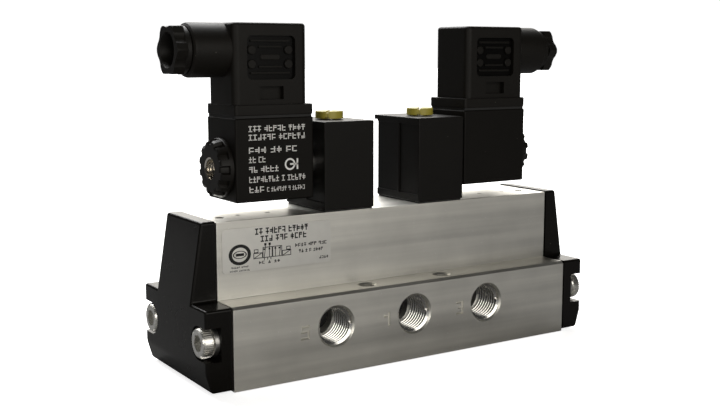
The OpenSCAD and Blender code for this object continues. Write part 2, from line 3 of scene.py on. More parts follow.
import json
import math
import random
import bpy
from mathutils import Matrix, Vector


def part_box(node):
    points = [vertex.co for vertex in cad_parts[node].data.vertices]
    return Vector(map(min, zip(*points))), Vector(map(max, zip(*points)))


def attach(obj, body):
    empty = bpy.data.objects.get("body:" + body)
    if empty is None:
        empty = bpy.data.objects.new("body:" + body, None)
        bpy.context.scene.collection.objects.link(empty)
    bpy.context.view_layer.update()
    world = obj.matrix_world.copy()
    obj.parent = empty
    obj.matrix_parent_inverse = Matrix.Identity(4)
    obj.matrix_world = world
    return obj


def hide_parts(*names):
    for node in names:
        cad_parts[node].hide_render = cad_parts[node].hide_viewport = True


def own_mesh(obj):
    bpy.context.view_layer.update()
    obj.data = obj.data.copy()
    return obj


bl_info = {
    "name": "Solenoid Valve",
    "version": (1, 0, 0),
    "blender": (4, 5, 0),
    "location": "3D View > Sidebar > Valve",
    "description": "Models the visible pieces of a two-solenoid spool valve around its fixed frame",
    "category": "Object",
}

import bmesh
import bpy
from mathutils import Vector

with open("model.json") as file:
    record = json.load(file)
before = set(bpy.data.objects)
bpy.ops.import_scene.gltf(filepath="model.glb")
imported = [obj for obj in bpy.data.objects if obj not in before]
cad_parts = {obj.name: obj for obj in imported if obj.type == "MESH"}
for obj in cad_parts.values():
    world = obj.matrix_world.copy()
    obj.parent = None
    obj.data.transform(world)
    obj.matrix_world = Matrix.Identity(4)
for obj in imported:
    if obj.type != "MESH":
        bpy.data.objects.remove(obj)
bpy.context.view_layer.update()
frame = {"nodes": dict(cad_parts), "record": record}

# Pieces are modelled in millimetres and brought to metres when they are finished.
MM = 0.001
FULL_TURN = 2 * math.pi

# Sizes, in millimetres, that no box of a CAD node gives
RUNNING_GAP = 0.03
CAP_SCREW_Y = 19.5
CAP_PROUD = 0.15
PASSAGE_RADIUS = 5.8
STAMP_LEFT_OF_PORT = 12
PLUG_HOLES_AT = ((-64.5, -5), (64.5, -5))
DIMPLES_AT = ((-57, -3), (-46, -3), (46, -3), (57, -3))
PILOT_SCREWS_AT = ((13.4, -10.2), (25.9, 10.2))
SLOT_TURN = 50
WASHER_HEIGHT = 1.6
LEDGE_HEIGHT = 27.5
HOUSING_LOW = (33.8, -9.75, 88.8)
HOUSING_HIGH = (61.0, 9.75)
FLANGE_TOP = 89.8
BARREL_X = 54.4
# Openings in the housing's side, as low x, low z, high x, high z
WINDOW = (38.4, 97.9, 56.1, 112.1)
CATCH_OPENING = (42.9, 91.4, 51.6, 95.7)


# ---------------------------------------------------------------- settings

def length(name, description, default):
    """A length property, in metres, shown in the scene's units."""
    return bpy.props.FloatProperty(
        name=name, description=description, default=default, unit="LENGTH", precision=5
    )


def colour(name, description, default):
    """A colour property."""
    return bpy.props.FloatVectorProperty(
        name=name, description=description, default=default, subtype="COLOR", size=3
    )


def strength(name, description, default):
    """The strength of a light."""
    return bpy.props.FloatProperty(name=name, description=description, default=default, min=0)


class VALVE_PG_body(bpy.types.PropertyGroup):
    """Sizes and colours of the valve body and its end caps"""

    edge: length("Edge", "Softening of the body's outer edges", 0.00025)
    ledge_chamfer: length("Ledge chamfer", "Chamfer along the ledge's edges", 0.0009)
    port_chamfer: length("Port chamfer", "Countersink at the mouth of a port", 0.0006)
    port_depth: length("Port depth", "Depth of a port's thread", 0.012)
    thread_pitch: length("Thread pitch", "Pitch of the port thread", 0.001337)
    thread_height: length("Thread height", "Height of the port thread's ridges", 0.00086)
    stamp_height: length("Stamp height", "Height of the port numbers", 0.0049)
    stamp_depth: length("Stamp depth", "Depth of the port numbers", 0.0006)
    cap_round: length("Cap rounding", "Rounding of the end caps' outer edges", 0.0009)
    metal: colour("Metal", "Colour of the extruded body", (0.80, 0.787, 0.735))
    cap: colour("Cap", "Colour of the end caps", (0.0048, 0.0041, 0.0032))


class VALVE_PG_pilot(bpy.types.PropertyGroup):
    """Sizes and colours of the pilot blocks, coils and overrides"""

    block_edge: length("Block edge", "Softening of a pilot block's edges", 0.0003)
    coil_edge: length("Coil edge", "Rounding of a coil's edges", 0.0006)
    nut_lobes: bpy.props.IntProperty(
        name="Nut lobes", description="Grip lobes round a coil nut", default=12, min=6, max=20
    )
    spring_wire: length("Spring wire", "Thickness of a plunger spring's wire", 0.0006)
    block: colour("Block", "Colour of the pilot blocks", (0.0048, 0.0041, 0.0032))
    coil: colour("Coil", "Colour of the coils", (0.0055, 0.0047, 0.0036))
    button: colour("Button", "Colour of the manual overrides", (0.45, 0.385, 0.055))
    print_ink: colour("Print", "Colour of the printing on the coil", (0.92, 0.92, 0.90))


class VALVE_PG_connector(bpy.types.PropertyGroup):
    """Sizes and colours of the cable connectors"""

    corner: length("Corner", "Rounding of the housing's upright edges", 0.0022)
    top_round: length("Top rounding", "Rounding round the top of the housing", 0.0011)
    window_depth: length("Window depth", "Depth of the recessed window", 0.0014)
    window_corner: length("Window corner", "Rounding of the window's corners", 0.0017)
    scallop: length("Scallop", "How far a gland nut's faces are hollowed", 0.0004)
    housing: colour("Housing", "Colour of the connector housing", (0.0068, 0.0058, 0.0044))
    gland: colour("Gland", "Colour of the gland nuts", (0.0062, 0.0053, 0.0040))


class VALVE_PG_stage(bpy.types.PropertyGroup):
    """The camera, the lights and the floor"""

    lens: bpy.props.FloatProperty(
        name="Lens", description="Focal length on a 36 mm sensor", default=52.82, unit="CAMERA"
    )
    camera_place: bpy.props.FloatVectorProperty(
        name="Camera place", description="Where the camera stands",
        default=(-0.2110, -0.3176, 0.1063), subtype="TRANSLATION", size=3,
    )
    camera_turn: bpy.props.FloatProperty(
        name="Camera turn", description="Turn of the view from +Y towards +X",
        default=math.radians(32.75), subtype="ANGLE",
    )
    camera_dip: bpy.props.FloatProperty(
        name="Camera dip", description="How far the view looks down",
        default=math.radians(8.08), subtype="ANGLE",
    )
    floor: colour("Floor", "Colour of the floor", (0.93, 0.93, 0.93))
    floor_glow: strength("Floor glow", "How much the floor glows for the camera", 0.85)
    floor_dull: strength("Dull floor", "How pale the floor is in reflections", 0.14)
    sky: strength("Surround", "Strength of the even light from all round", 0.035)
    backdrop: strength("Backdrop", "Brightness of the backdrop", 1.3)
    high_light: strength("High light", "Strength of the broad light from above", 4.0)
    back_light: strength("Back light", "Power of the lamp behind, in watts", 11.0)
    front_light: strength("Front light", "Power of the lamp in front, in watts", 4.8)
    side_light: strength("Side light", "Power of the lamp at the left, in watts", 2.2)


# ---------------------------------------------------------------- modelling tools

def only(piece):
    """Makes one piece the only selected one, and the active one."""
    bpy.ops.object.select_all(action="DESELECT")
    piece.select_set(True)
    bpy.context.view_layer.objects.active = piece


def apply_place(piece):
    """Moves a piece's place, turn and size into its mesh."""
    only(piece)
    bpy.ops.object.transform_apply(location=True, rotation=True, scale=True)


def named(name):
    """Names the piece that was just added."""
    piece = bpy.context.object
    piece.name = name
    piece.data.name = name
    return piece


def opened(piece, kind="FACE"):
    """Opens a piece in edit mode with nothing selected."""
    only(piece)
    bpy.ops.object.mode_set(mode="EDIT")
    bpy.ops.mesh.select_mode(type=kind)
    bpy.ops.mesh.select_all(action="DESELECT")


def closed():
    """Leaves edit mode."""
    bpy.ops.object.mode_set(mode="OBJECT")


def pick(piece, kind, test):
    """Selects the verts, edges or faces for which test is true, in edit mode."""
    bpy.ops.mesh.select_mode(type={"verts": "VERT", "edges": "EDGE", "faces": "FACE"}[kind])
    bpy.ops.mesh.select_all(action="DESELECT")
    mesh = bmesh.from_edit_mesh(piece.data)
    for item in getattr(mesh, kind):
        if test(item):
            item.select_set(True)
    bmesh.update_edit_mesh(piece.data)


def middle(item):
    """The middle of an edge or a face."""
    if isinstance(item, bmesh.types.BMFace):
        return item.calc_center_median()
    return (item.verts[0].co + item.verts[1].co) / 2


def extruded(offset):
    """Extrudes what is selected and moves it."""
    bpy.ops.mesh.extrude_region_move(TRANSFORM_OT_translate={"value": offset})


def outward(piece):
    """Merges doubles and turns every face outward."""
    opened(piece)
    bpy.ops.mesh.select_all(action="SELECT")
    bpy.ops.mesh.remove_doubles(threshold=1e-4)
    bpy.ops.mesh.normals_make_consistent(inside=False)
    closed()


def block(name, low, high):
    """A box from its low corner to its high corner, to be shaped further."""
    low, high = Vector(low), Vector(high)
    bpy.ops.mesh.primitive_cube_add(size=1, location=(low + high) / 2)
    piece = named(name)
    piece.scale = high - low
    apply_place(piece)
    return piece


def upright(name, low, high, corner, segments=5):
    """A box with rounded upright edges."""
    piece = block(name, low, high)
    opened(piece)
    pick(piece, "edges", lambda e: abs(e.verts[0].co.z - e.verts[1].co.z) > 0.1)
    bpy.ops.mesh.bevel(offset=corner, segments=segments)
    closed()
    return piece


def rod(name, low_z, high_z, radius, sides=64):
    """A straight round bar about Z."""
    bpy.ops.mesh.primitive_cylinder_add(
        vertices=sides, radius=radius, depth=high_z - low_z, location=(0, 0, (low_z + high_z) / 2)
    )
    piece = named(name)
    apply_place(piece)
    return piece


def drawn(name, points):
    """A line drawn through points in the XZ plane, by extruding one vertex."""
    bpy.ops.mesh.primitive_plane_add(size=1, location=(0, 0, 0))
    piece = named(name)
    opened(piece, "VERT")
    bpy.ops.mesh.select_all(action="SELECT")
    bpy.ops.mesh.merge(type="CENTER")
    bpy.ops.transform.translate(value=(points[0][0], 0, points[0][1]))
    for (x0, z0), (x1, z1) in zip(points, points[1:]):
        extruded((x1 - x0, 0, z1 - z0))
    return piece


def spun(name, outline, sides=64):
    """A shape turned about Z from an outline of (radius, height) points.

    An outline that starts and ends on the axis gives a solid, and any other a closed ring.
    """
    solid = outline[0][0] == 0 and outline[-1][0] == 0
    piece = drawn(name, outline if solid else outline + [outline[0]])
    bpy.ops.mesh.select_all(action="SELECT")
    bpy.ops.mesh.spin(steps=sides, angle=FULL_TURN, center=(0, 0, 0), axis=(0, 0, 1))
    closed()
    outward(piece)
    return piece


def lobed(name, radius, groove, count, share, levels):
    """A grip shape about Z: grooves round its side, and a (height, scale) for each level.

    groove is how deep the grooves are, and share is how much of the rim they take.
    """
    steps = 10
    bpy.ops.mesh.primitive_circle_add(
        vertices=count * steps, radius=radius, fill_type="NGON", location=(0, 0, levels[0][0])
    )
    piece = named(name)
    apply_place(piece)
    opened(piece)

    def in_groove(vert):
        turn = math.atan2(vert.co.y, vert.co.x) / FULL_TURN * count
        return abs(turn - round(turn)) < share / 2

    pick(piece, "verts", in_groove)
    inner = 1 - groove / radius
    bpy.ops.transform.resize(value=(inner, inner, 1), center_override=(0, 0, levels[0][0]))
    bpy.ops.mesh.select_all(action="SELECT")
    scale = levels[0][1]
    bpy.ops.transform.resize(value=(scale, scale, 1), center_override=(0, 0, levels[0][0]))
    for (low, before), (high, after) in zip(levels, levels[1:]):
        extruded((0, 0, high - low))
        scale = after / before
        bpy.ops.transform.resize(value=(scale, scale, 1), center_override=(0, 0, high))
    closed()
    outward(piece)
    return piece


def modify(piece, kind, **values):
    """Adds a modifier with these values and applies it."""
    only(piece)
    bpy.ops.object.modifier_add(type=kind)
    modifier = piece.modifiers[-1]
    for key, value in values.items():
        setattr(modifier, key, value)
    bpy.ops.object.modifier_apply(modifier=modifier.name)


def soften(piece, width, segments=2, angle=32):
    """Rounds every edge sharper than the angle."""
    modify(
        piece, "BEVEL", width=width, segments=segments, limit_method="ANGLE",
        angle_limit=math.radians(angle), miter_outer="MITER_ARC", use_clamp_overlap=True,
    )


def removed(piece):
    """Deletes a piece that was only a tool."""
    only(piece)
    bpy.ops.object.delete()


def cut(piece, *tools, operation="DIFFERENCE"):
    """Cuts the tools out of a piece, or joins them to it, and deletes them."""
    for tool in tools:
        modify(piece, "BOOLEAN", operation=operation, solver="EXACT", object=tool)
        removed(tool)


def moved(piece, offset=(0, 0, 0), turn=(0, 0, 0)):
    """Turns a piece about the origin, in degrees, and then moves it."""
    piece.rotation_euler = [math.radians(a) for a in turn]
    piece.location = offset
    apply_place(piece)
    return piece


def copied(piece, name, offset=(0, 0, 0), turn=(0, 0, 0)):
    """A copy with its own mesh, turned and moved."""
    only(piece)
    bpy.ops.object.duplicate()
    return moved(named(name), offset, turn)


def mirrored(piece, name):
    """A copy mirrored to the left side."""
    only(piece)
    bpy.ops.object.duplicate()
    other = named(name)
    other.scale = (-1, 1, 1)
    apply_place(other)
    outward(other)
    return other


def joined(pieces, name):
    """Joins pieces into one."""
    bpy.ops.object.select_all(action="DESELECT")
    for piece in pieces:
        piece.select_set(True)
    bpy.context.view_layer.objects.active = pieces[0]
    bpy.ops.object.join()
    return named(name)


def along_x(piece, x, y, z):
    """Lays a piece drawn about Z along +X, with its base at x."""
    return moved(piece, (x, y, z), (0, 90, 0))


def bore(x0, x1, radius, y, z, sides=48):
    """A round tool along X."""
    return along_x(rod("bore", 0, x1 - x0, radius, sides), x0, y, z)


def wound(name, section, pitch, turns, steps):
    """A closed section of (radius, height) points wound up Z."""
    piece = drawn(name, section + [section[0]])
    bpy.ops.mesh.select_all(action="SELECT")
    bpy.ops.mesh.remove_doubles(threshold=1e-4)
    closed()
    modify(
        piece, "SCREW", axis="Z", angle=FULL_TURN, screw_offset=pitch, iterations=turns,
        steps=steps, render_steps=steps, use_merge_vertices=False,
    )
    opened(piece, "EDGE")
    bpy.ops.mesh.select_non_manifold()
    bpy.ops.mesh.fill_holes(sides=len(section))
    bpy.ops.mesh.select_all(action="SELECT")
    bpy.ops.mesh.normals_make_consistent(inside=False)
    closed()
    return piece


def thread(name, outer, inner, pitch, turns, steps=48):
    """A threaded ridge with a flat crest that points inward, wound up Z."""
    section = [(outer, 0), (inner, pitch * 0.32), (inner, pitch * 0.62), (outer, pitch * 0.94)]
    return wound(name, section, pitch, turns, steps)


def wire_coil(name, radius, wire, pitch, turns):
    """A coil of round wire wound up Z."""
    round_points = [FULL_TURN * i / 12 for i in range(12)]
    section = [(radius + wire * math.cos(a), wire + wire * math.sin(a)) for a in round_points]
    return wound(name, section, pitch, turns, 32)


def finish_piece(piece, name, body, slot, material, *nodes):
    """Brings a piece to metres, gives it its finish, and puts it on its body."""
    piece.name = name
    piece.data.name = name
    piece.scale = (MM, MM, MM)
    apply_place(piece)
    bpy.ops.object.shade_smooth_by_angle(angle=math.radians(32))
    modify(piece, "WEIGHTED_NORMAL", keep_sharp=True)
    piece.data.materials.clear()
    piece.data.materials.append(material)
    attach(piece, body)
    if nodes:
        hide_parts(*nodes)
    return piece


def finish_sides(right, left, name, body, slot, material, *nodes):
    """Finishes the right and the left one of a piece."""
    for side, piece in (("right", right), ("left", left)):
        stands_for = [node.format(side=side) for node in nodes]
        finish_piece(piece, f"{name}_{side}", body.format(side=side), slot, material, *stands_for)


def finish_both(piece, name, body, slot, material, *nodes):
    """Finishes a piece modelled on the right, and its half-turn copy on the left."""
    other = copied(piece, name, turn=(0, 0, 180))
    finish_sides(piece, other, name, body, slot, material, *nodes)


def corners(node):
    """The low and high corners of a CAD node, in millimetres."""
    low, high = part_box(node)
    return low / MM, high / MM


def lying(node):
    """The height of the axis and the radius of a round CAD node that lies along X."""
    low, high = corners(node)
    return (low.z + high.z) / 2, (high.z - low.z) / 2


def mounts(kind):
    """The record's mounts of one kind, each with its place in millimetres."""
    found = [m for m in frame["record"]["mounts"] if m["kind"] == kind]
    return [(m, Vector(m["pos_m"]) / MM) for m in found]


def settings(name):
    """One of the add-on's groups of settings."""
    return getattr(bpy.context.scene, "valve_" + name)


# ---------------------------------------------------------------- finishes

def node_group(name, inputs, outputs):
    """An empty shader node group with these sockets: (name, type, default)."""
    tree = bpy.data.node_groups.new(name, "ShaderNodeTree")
    for socket, kind, default in inputs:
        made = tree.interface.new_socket(socket, in_out="INPUT", socket_type=kind)
        if default is not None:
            made.default_value = default
    for socket, kind in outputs:
        tree.interface.new_socket(socket, in_out="OUTPUT", socket_type=kind)
    return tree, tree.nodes.new("NodeGroupInput"), tree.nodes.new("NodeGroupOutput")


def add_node(tree, kind, inputs=None, **values):
    """Adds a node, sets its values, and links or sets its inputs."""
    node = tree.nodes.new(kind)
    for key, value in values.items():
        setattr(node, key, value)
    for key, value in (inputs or {}).items():
        if isinstance(value, bpy.types.NodeSocket):
            tree.links.new(value, node.inputs[key])
        else:
            node.inputs[key].default_value = value
    return node


def tone_group():
    """Slow cloudy change of a colour, with finer mottling on top."""
    tree, start, end = node_group(
        "Tone",
        [
            ("Vector", "NodeSocketVector", None),
            ("Color", "NodeSocketColor", (0.5, 0.5, 0.5, 1)),
            ("Scale", "NodeSocketFloat", 60.0),
            ("Amount", "NodeSocketFloat", 0.1),
        ],
        [("Color", "NodeSocketColor")],
    )
    noise = add_node(
        tree, "ShaderNodeTexNoise",
        {"Vector": start.outputs["Vector"], "Scale": start.outputs["Scale"], "Detail": 5.0},
    )
    centred = add_node(tree, "ShaderNodeMath", {0: noise.outputs["Fac"], 1: 0.5}, operation="SUBTRACT")
    spread = add_node(
        tree, "ShaderNodeMath", {0: centred.outputs[0], 1: start.outputs["Amount"]}, operation="MULTIPLY"
    )
    factor = add_node(
        tree, "ShaderNodeMath", {0: spread.outputs[0], 1: 2.0, 2: 1.0}, operation="MULTIPLY_ADD"
    )
    scaled = add_node(
        tree, "ShaderNodeVectorMath", {0: start.outputs["Color"], "Scale": factor.outputs[0]},
        operation="SCALE",
    )
    tree.links.new(scaled.outputs[0], end.inputs["Color"])
    return tree


def grain_group():
    """Fine moulded or cast grain: a height, and a roughness that follows it."""
    tree, start, end = node_group(
        "Grain",
        [
            ("Vector", "NodeSocketVector", None),
            ("Scale", "NodeSocketFloat", 2500.0),
            ("Roughness", "NodeSocketFloat", 0.5),
            ("Spread", "NodeSocketFloat", 0.08),
        ],
        [("Height", "NodeSocketFloat"), ("Roughness", "NodeSocketFloat")],
    )
    fine = add_node(
        tree, "ShaderNodeTexNoise",
        {"Vector": start.outputs["Vector"], "Scale": start.outputs["Scale"], "Detail": 3.0},
    )
    coarse_scale = add_node(
        tree, "ShaderNodeMath", {0: start.outputs["Scale"], 1: 0.05}, operation="MULTIPLY"
    )
    coarse = add_node(
        tree, "ShaderNodeTexNoise",
        {"Vector": start.outputs["Vector"], "Scale": coarse_scale.outputs[0], "Detail": 4.0},
    )
    centred = add_node(tree, "ShaderNodeMath", {0: coarse.outputs["Fac"], 1: 0.5}, operation="SUBTRACT")
    spread = add_node(
        tree, "ShaderNodeMath",
        {0: centred.outputs[0], 1: start.outputs["Spread"], 2: start.outputs["Roughness"]},
        operation="MULTIPLY_ADD",
    )
    tree.links.new(fine.outputs["Fac"], end.inputs["Height"])
    tree.links.new(spread.outputs[0], end.inputs["Roughness"])
    return tree


def lines_group():
    """Fine straight lines along X, as an extrusion die or a cutter leaves them."""
    tree, start, end = node_group(
        "Drawn Lines",
        [
            ("Vector", "NodeSocketVector", None),
            ("Across", "NodeSocketFloat", 1400.0),
            ("Along", "NodeSocketFloat", 9.0),
        ],
        [("Height", "NodeSocketFloat"), ("Tone", "NodeSocketFloat")],
    )
    stretch = add_node(
        tree, "ShaderNodeCombineXYZ",
        {"X": start.outputs["Along"], "Y": start.outputs["Across"], "Z": start.outputs["Across"]},
    )
    place = add_node(
        tree, "ShaderNodeVectorMath", {0: start.outputs["Vector"], 1: stretch.outputs[0]},
        operation="MULTIPLY",
    )
    fine = add_node(
        tree, "ShaderNodeTexNoise", {"Vector": place.outputs[0], "Scale": 1.0, "Detail": 3.0}
    )
    wide_place = add_node(
        tree, "ShaderNodeVectorMath", {0: place.outputs[0], 1: (0.5, 0.09, 0.09)}, operation="MULTIPLY"
    )
    wide = add_node(
        tree, "ShaderNodeTexNoise", {"Vector": wide_place.outputs[0], "Scale": 1.0, "Detail": 4.0}
    )
    tree.links.new(fine.outputs["Fac"], end.inputs["Height"])
    tree.links.new(wide.outputs["Fac"], end.inputs["Tone"])
    return tree


def specks_group():
    """Scattered dust and tiny nicks, each a small round dot."""
    tree, start, end = node_group(
        "Specks",
        [
            ("Vector", "NodeSocketVector", None),
            ("Scale", "NodeSocketFloat", 450.0),
            ("Size", "NodeSocketFloat", 0.07),
            ("Share", "NodeSocketFloat", 0.15),
        ],
        [("Mask", "NodeSocketFloat")],
    )
    cells = add_node(
        tree, "ShaderNodeTexVoronoi", {"Vector": start.outputs["Vector"], "Scale": start.outputs["Scale"]}
    )
    near = add_node(
        tree, "ShaderNodeMath", {0: cells.outputs["Distance"], 1: start.outputs["Size"]},
        operation="LESS_THAN",
    )
    parts = add_node(tree, "ShaderNodeSeparateColor", {"Color": cells.outputs["Color"]})
    kept = add_node(
        tree, "ShaderNodeMath", {0: parts.outputs["Red"], 1: start.outputs["Share"]},
        operation="LESS_THAN",
    )
    mask = add_node(tree, "ShaderNodeMath", {0: near.outputs[0], 1: kept.outputs[0]}, operation="MULTIPLY")
    tree.links.new(mask.outputs[0], end.inputs["Mask"])
    return tree


GROUPS = {}
MATERIALS = {}


def group(name):
    """The shared node group of this name, built the first time it is asked for."""
    makers = {
        "Tone": tone_group, "Grain": grain_group, "Drawn Lines": lines_group, "Specks": specks_group,
    }
    if name not in GROUPS:
        GROUPS[name] = makers[name]()
    return GROUPS[name]


def place_group(tree, name, inputs):
    """Puts a shared group into a material, with its values."""
    return add_node(tree, "ShaderNodeGroup", inputs, node_tree=group(name))


def new_material(name, **shader_values):
    """A material with a Principled shader and Object coordinates."""
    material = bpy.data.materials.new(name)
    material.use_nodes = True
    tree = material.node_tree
    shader = tree.nodes["Principled BSDF"]
    for key, value in shader_values.items():
        shader.inputs[key.replace("_", " ")].default_value = value
    vector = tree.nodes.new("ShaderNodeTexCoord").outputs["Object"]
    return material, tree, shader, vector


def bump(tree, shader, height, strength, distance):
    """Feeds a height to the shader through a Bump node."""
    node = add_node(
        tree, "ShaderNodeBump", {"Height": height, "Strength": strength, "Distance": distance}
    )
    tree.links.new(node.outputs["Normal"], shader.inputs["Normal"])


def dusted(tree, vector, colour_socket, dust, share, scale=450.0, size=0.07):
    """A colour with specks of another on it."""
    specks = place_group(
        tree, "Specks", {"Vector": vector, "Scale": scale, "Size": size, "Share": share}
    )
    mix = add_node(
        tree, "ShaderNodeMix", {0: specks.outputs["Mask"], 6: colour_socket, 7: (*dust, 1)},
        data_type="RGBA",
    )
    return mix.outputs[2]


def plastic(
    name, base, roughness=0.45, grain=2600.0, depth=0.00002, tone=0.12, spread=0.12, shine=0.5,
    dust=0.0,
):
    """Moulded plastic: faint tone changes, a fine grain in the gloss, and a little dust.

    shine is how strongly the surface mirrors its surroundings, and dust is the share of specks.
    """
    if name in MATERIALS:
        return MATERIALS[name]
    material, tree, shader, vector = new_material(name, Specular_IOR_Level=shine)
    tint = place_group(
        tree, "Tone", {"Vector": vector, "Color": (*base, 1), "Scale": 90.0, "Amount": tone}
    )
    tinted = tint.outputs["Color"]
    if dust:
        tinted = dusted(tree, vector, tinted, (0.10, 0.095, 0.08), dust)
    tree.links.new(tinted, shader.inputs["Base Color"])
    texture = place_group(
        tree, "Grain", {"Vector": vector, "Scale": grain, "Roughness": roughness, "Spread": spread}
    )
    tree.links.new(texture.outputs["Roughness"], shader.inputs["Roughness"])
    bump(tree, shader, texture.outputs["Height"], 0.5, depth)
    MATERIALS[name] = material
    return material


def metal(name, base, roughness=0.3, grain=1800.0, depth=0.00001, tone=0.08, spread=0.15):
    """Machined or plated metal with a fine uneven gloss."""
    if name in MATERIALS:
        return MATERIALS[name]
    material, tree, shader, vector = new_material(name, Metallic=1.0)
    tint = place_group(
        tree, "Tone", {"Vector": vector, "Color": (*base, 1), "Scale": 220.0, "Amount": tone}
    )
    tree.links.new(tint.outputs["Color"], shader.inputs["Base Color"])
    texture = place_group(
        tree, "Grain", {"Vector": vector, "Scale": grain, "Roughness": roughness, "Spread": spread}
    )
    tree.links.new(texture.outputs["Roughness"], shader.inputs["Roughness"])
    bump(tree, shader, texture.outputs["Height"], 0.4, depth)
    MATERIALS[name] = material
    return material


def extruded_aluminium():
    """Satin aluminium with drawn lines along the body."""
    name = "extruded_aluminium"
    if name in MATERIALS:
        return MATERIALS[name]
    base = settings("body").metal
    material, tree, shader, vector = new_material(name, Metallic=1.0)
    lines = place_group(tree, "Drawn Lines", {"Vector": vector, "Across": 3000.0, "Along": 14.0})
    amount = add_node(
        tree, "ShaderNodeMapRange",
        {"Value": lines.outputs["Tone"], "From Min": 0.28, "From Max": 0.72, "To Min": 0.86, "To Max": 1.07},
    )
    streaked = add_node(
        tree, "ShaderNodeVectorMath", {0: (*base,), "Scale": amount.outputs[0]}, operation="SCALE"
    )
    tint = place_group(
        tree, "Tone", {"Vector": vector, "Color": streaked.outputs[0], "Scale": 60.0, "Amount": 0.16}
    )
    nicked = dusted(tree, vector, tint.outputs["Color"], (0.95, 0.94, 0.92), 0.25, 700.0, 0.09)
    tree.links.new(nicked, shader.inputs["Base Color"])
    rough = add_node(
        tree, "ShaderNodeMapRange",
        {"Value": lines.outputs["Tone"], "From Min": 0.2, "From Max": 0.8, "To Min": 0.34, "To Max": 0.46},
    )
    tree.links.new(rough.outputs[0], shader.inputs["Roughness"])
    bump(tree, shader, lines.outputs["Height"], 0.7, 0.00003)
    MATERIALS[name] = material
    return material


def cut_aluminium():
    """Bright freshly cut aluminium of the port threads."""
    return metal("cut_aluminium", (0.86, 0.85, 0.82), 0.2)


def ink(name, base):
    """Matt printing ink."""
    return plastic(name, base, 0.6, 4000.0, 0.000004, tone=0.15)


def label_foil():
    """Silver foil of the nameplate."""
    return metal("label_foil", (0.84, 0.83, 0.79), 0.40, 3000.0, 0.000006)


def button_plastic():
    """Yellow plastic of the override buttons."""
    return plastic("button_plastic", settings("pilot").button, 0.45, 2200.0, 0.00002)


def piston_plastic():
    """Dark grey acetal of the pistons and the spool's spacers."""
    return plastic("piston_plastic", (0.02, 0.02, 0.021), 0.4)


def bush_metal():
    """Nickel-plated brass of the bushes."""
    return metal("bush_metal", (0.80, 0.76, 0.69), 0.16)


def copper_wire():
    """Enamelled copper of the windings."""
    return metal("copper_wire", (0.60, 0.30, 0.16), 0.3)


def tinned_brass():
    """Tinned brass of the contact blades."""
    return metal("tinned_brass", (0.62, 0.60, 0.54), 0.3)


def floor_paint():
    """Pale matt paint of the floor, which glows for the camera and is dull in reflections."""
    s = settings("stage")
    material, tree, shader, vector = new_material(
        "floor_paint", Roughness=0.8, Emission_Strength=s.floor_glow
    )
    tint = place_group(
        tree, "Tone", {"Vector": vector, "Color": (*s.floor, 1), "Scale": 3.0, "Amount": 0.01}
    )
    seen = tree.nodes.new("ShaderNodeLightPath").outputs["Is Camera Ray"]
    for socket, dull in (("Base Color", s.floor_dull), ("Emission Color", 0.0)):
        mix = add_node(
            tree, "ShaderNodeMix", {0: seen, 6: (dull, dull, dull, 1), 7: tint.outputs["Color"]},
            data_type="RGBA",
        )
        tree.links.new(mix.outputs[2], shader.inputs[socket])
    return material


def cap_plastic():
    """Slightly glossy black plastic of the end caps."""
    return plastic("cap_plastic", settings("body").cap, 0.26, 1500.0, 0.000012, shine=0.2, dust=0.2)


def block_plastic():
    """Satin black plastic of the pilot blocks."""
    return plastic("block_plastic", settings("pilot").block, 0.44, 2400.0, 0.00002, shine=0.2, dust=0.12)


def coil_resin():
    """Satin black resin round the coils."""
    return plastic("coil_resin", settings("pilot").coil, 0.5, 2200.0, 0.00002, shine=0.15, dust=0.08)


def housing_plastic():
    """Matt black plastic of the connectors."""
    base = settings("connector").housing
    return plastic("housing_plastic", base, 0.5, 2000.0, 0.00003, shine=0.2, dust=0.08)


def window_plastic():
    """Smooth plastic of the panel in the window, darkened below the housing's colour as painted shade of the
    recess.
    """
    return plastic("window_plastic", (0.0022, 0.0020, 0.0017), 0.3, 2600.0, 0.00001, shine=0.1)


def gland_plastic():
    """Black plastic of the gland nuts and coil nuts."""
    return plastic("gland_plastic", settings("connector").gland, 0.46, 2600.0, 0.00002, shine=0.25)


def black_rubber():
    """Nitrile rubber of the seals."""
    return plastic("black_rubber", (0.012, 0.012, 0.012), 0.7, 3000.0, 0.00002)


def zinc_plate():
    """Bright zinc plate on the screws."""
    return metal("zinc_plate", (0.85, 0.84, 0.80), 0.28, 2600.0, 0.00001)


def spring_steel():
    """Darker steel of washers and springs."""
    return metal("spring_steel", (0.50, 0.495, 0.48), 0.34)


def ground_steel():
    """Ground steel of the spool, tubes and cores."""
    return metal("ground_steel", (0.62, 0.61, 0.59), 0.22)


# ---------------------------------------------------------------- valve section

def port_cutter(radius, depth, chamfer, passage, reach):
    """The shape of a port's hole: countersink, thread bore and passage, pointing down Z."""
    over = 0.5
    return spun(
        "port_cutter",
        [
            (0, over), (radius + chamfer + over, over), (radius, -chamfer), (radius, -depth),
            (passage, -depth - 0.6), (passage, -reach), (0, -reach),
        ],
    )


def hole_cutter(radius, chamfer, depth):
    """A chamfered hole down Z whose mouth is at the origin."""
    over = 0.4
    return spun(
        "hole_cutter",
        [(0, over), (radius + chamfer + over, over), (radius, -chamfer), (radius, -depth), (0, -depth)],
        40,
    )


STAMPED = {
    "1": ((0.3, 0, 0.3, 1), (-0.15, 0.82, 0.3, 0.82)),
    "3": ((-0.3, 0, 0.3, 0), (-0.1, 0.5, 0.3, 0.5), (-0.3, 1, 0.3, 1), (0.3, 0, 0.3, 1)),
    "5": ((-0.3, 0, 0.3, 0), (-0.3, 0.55, 0.3, 0.55), (-0.3, 1, 0.3, 1), (0.3, 0, 0.3, 0.55),
          (-0.3, 0.55, -0.3, 1)),
}


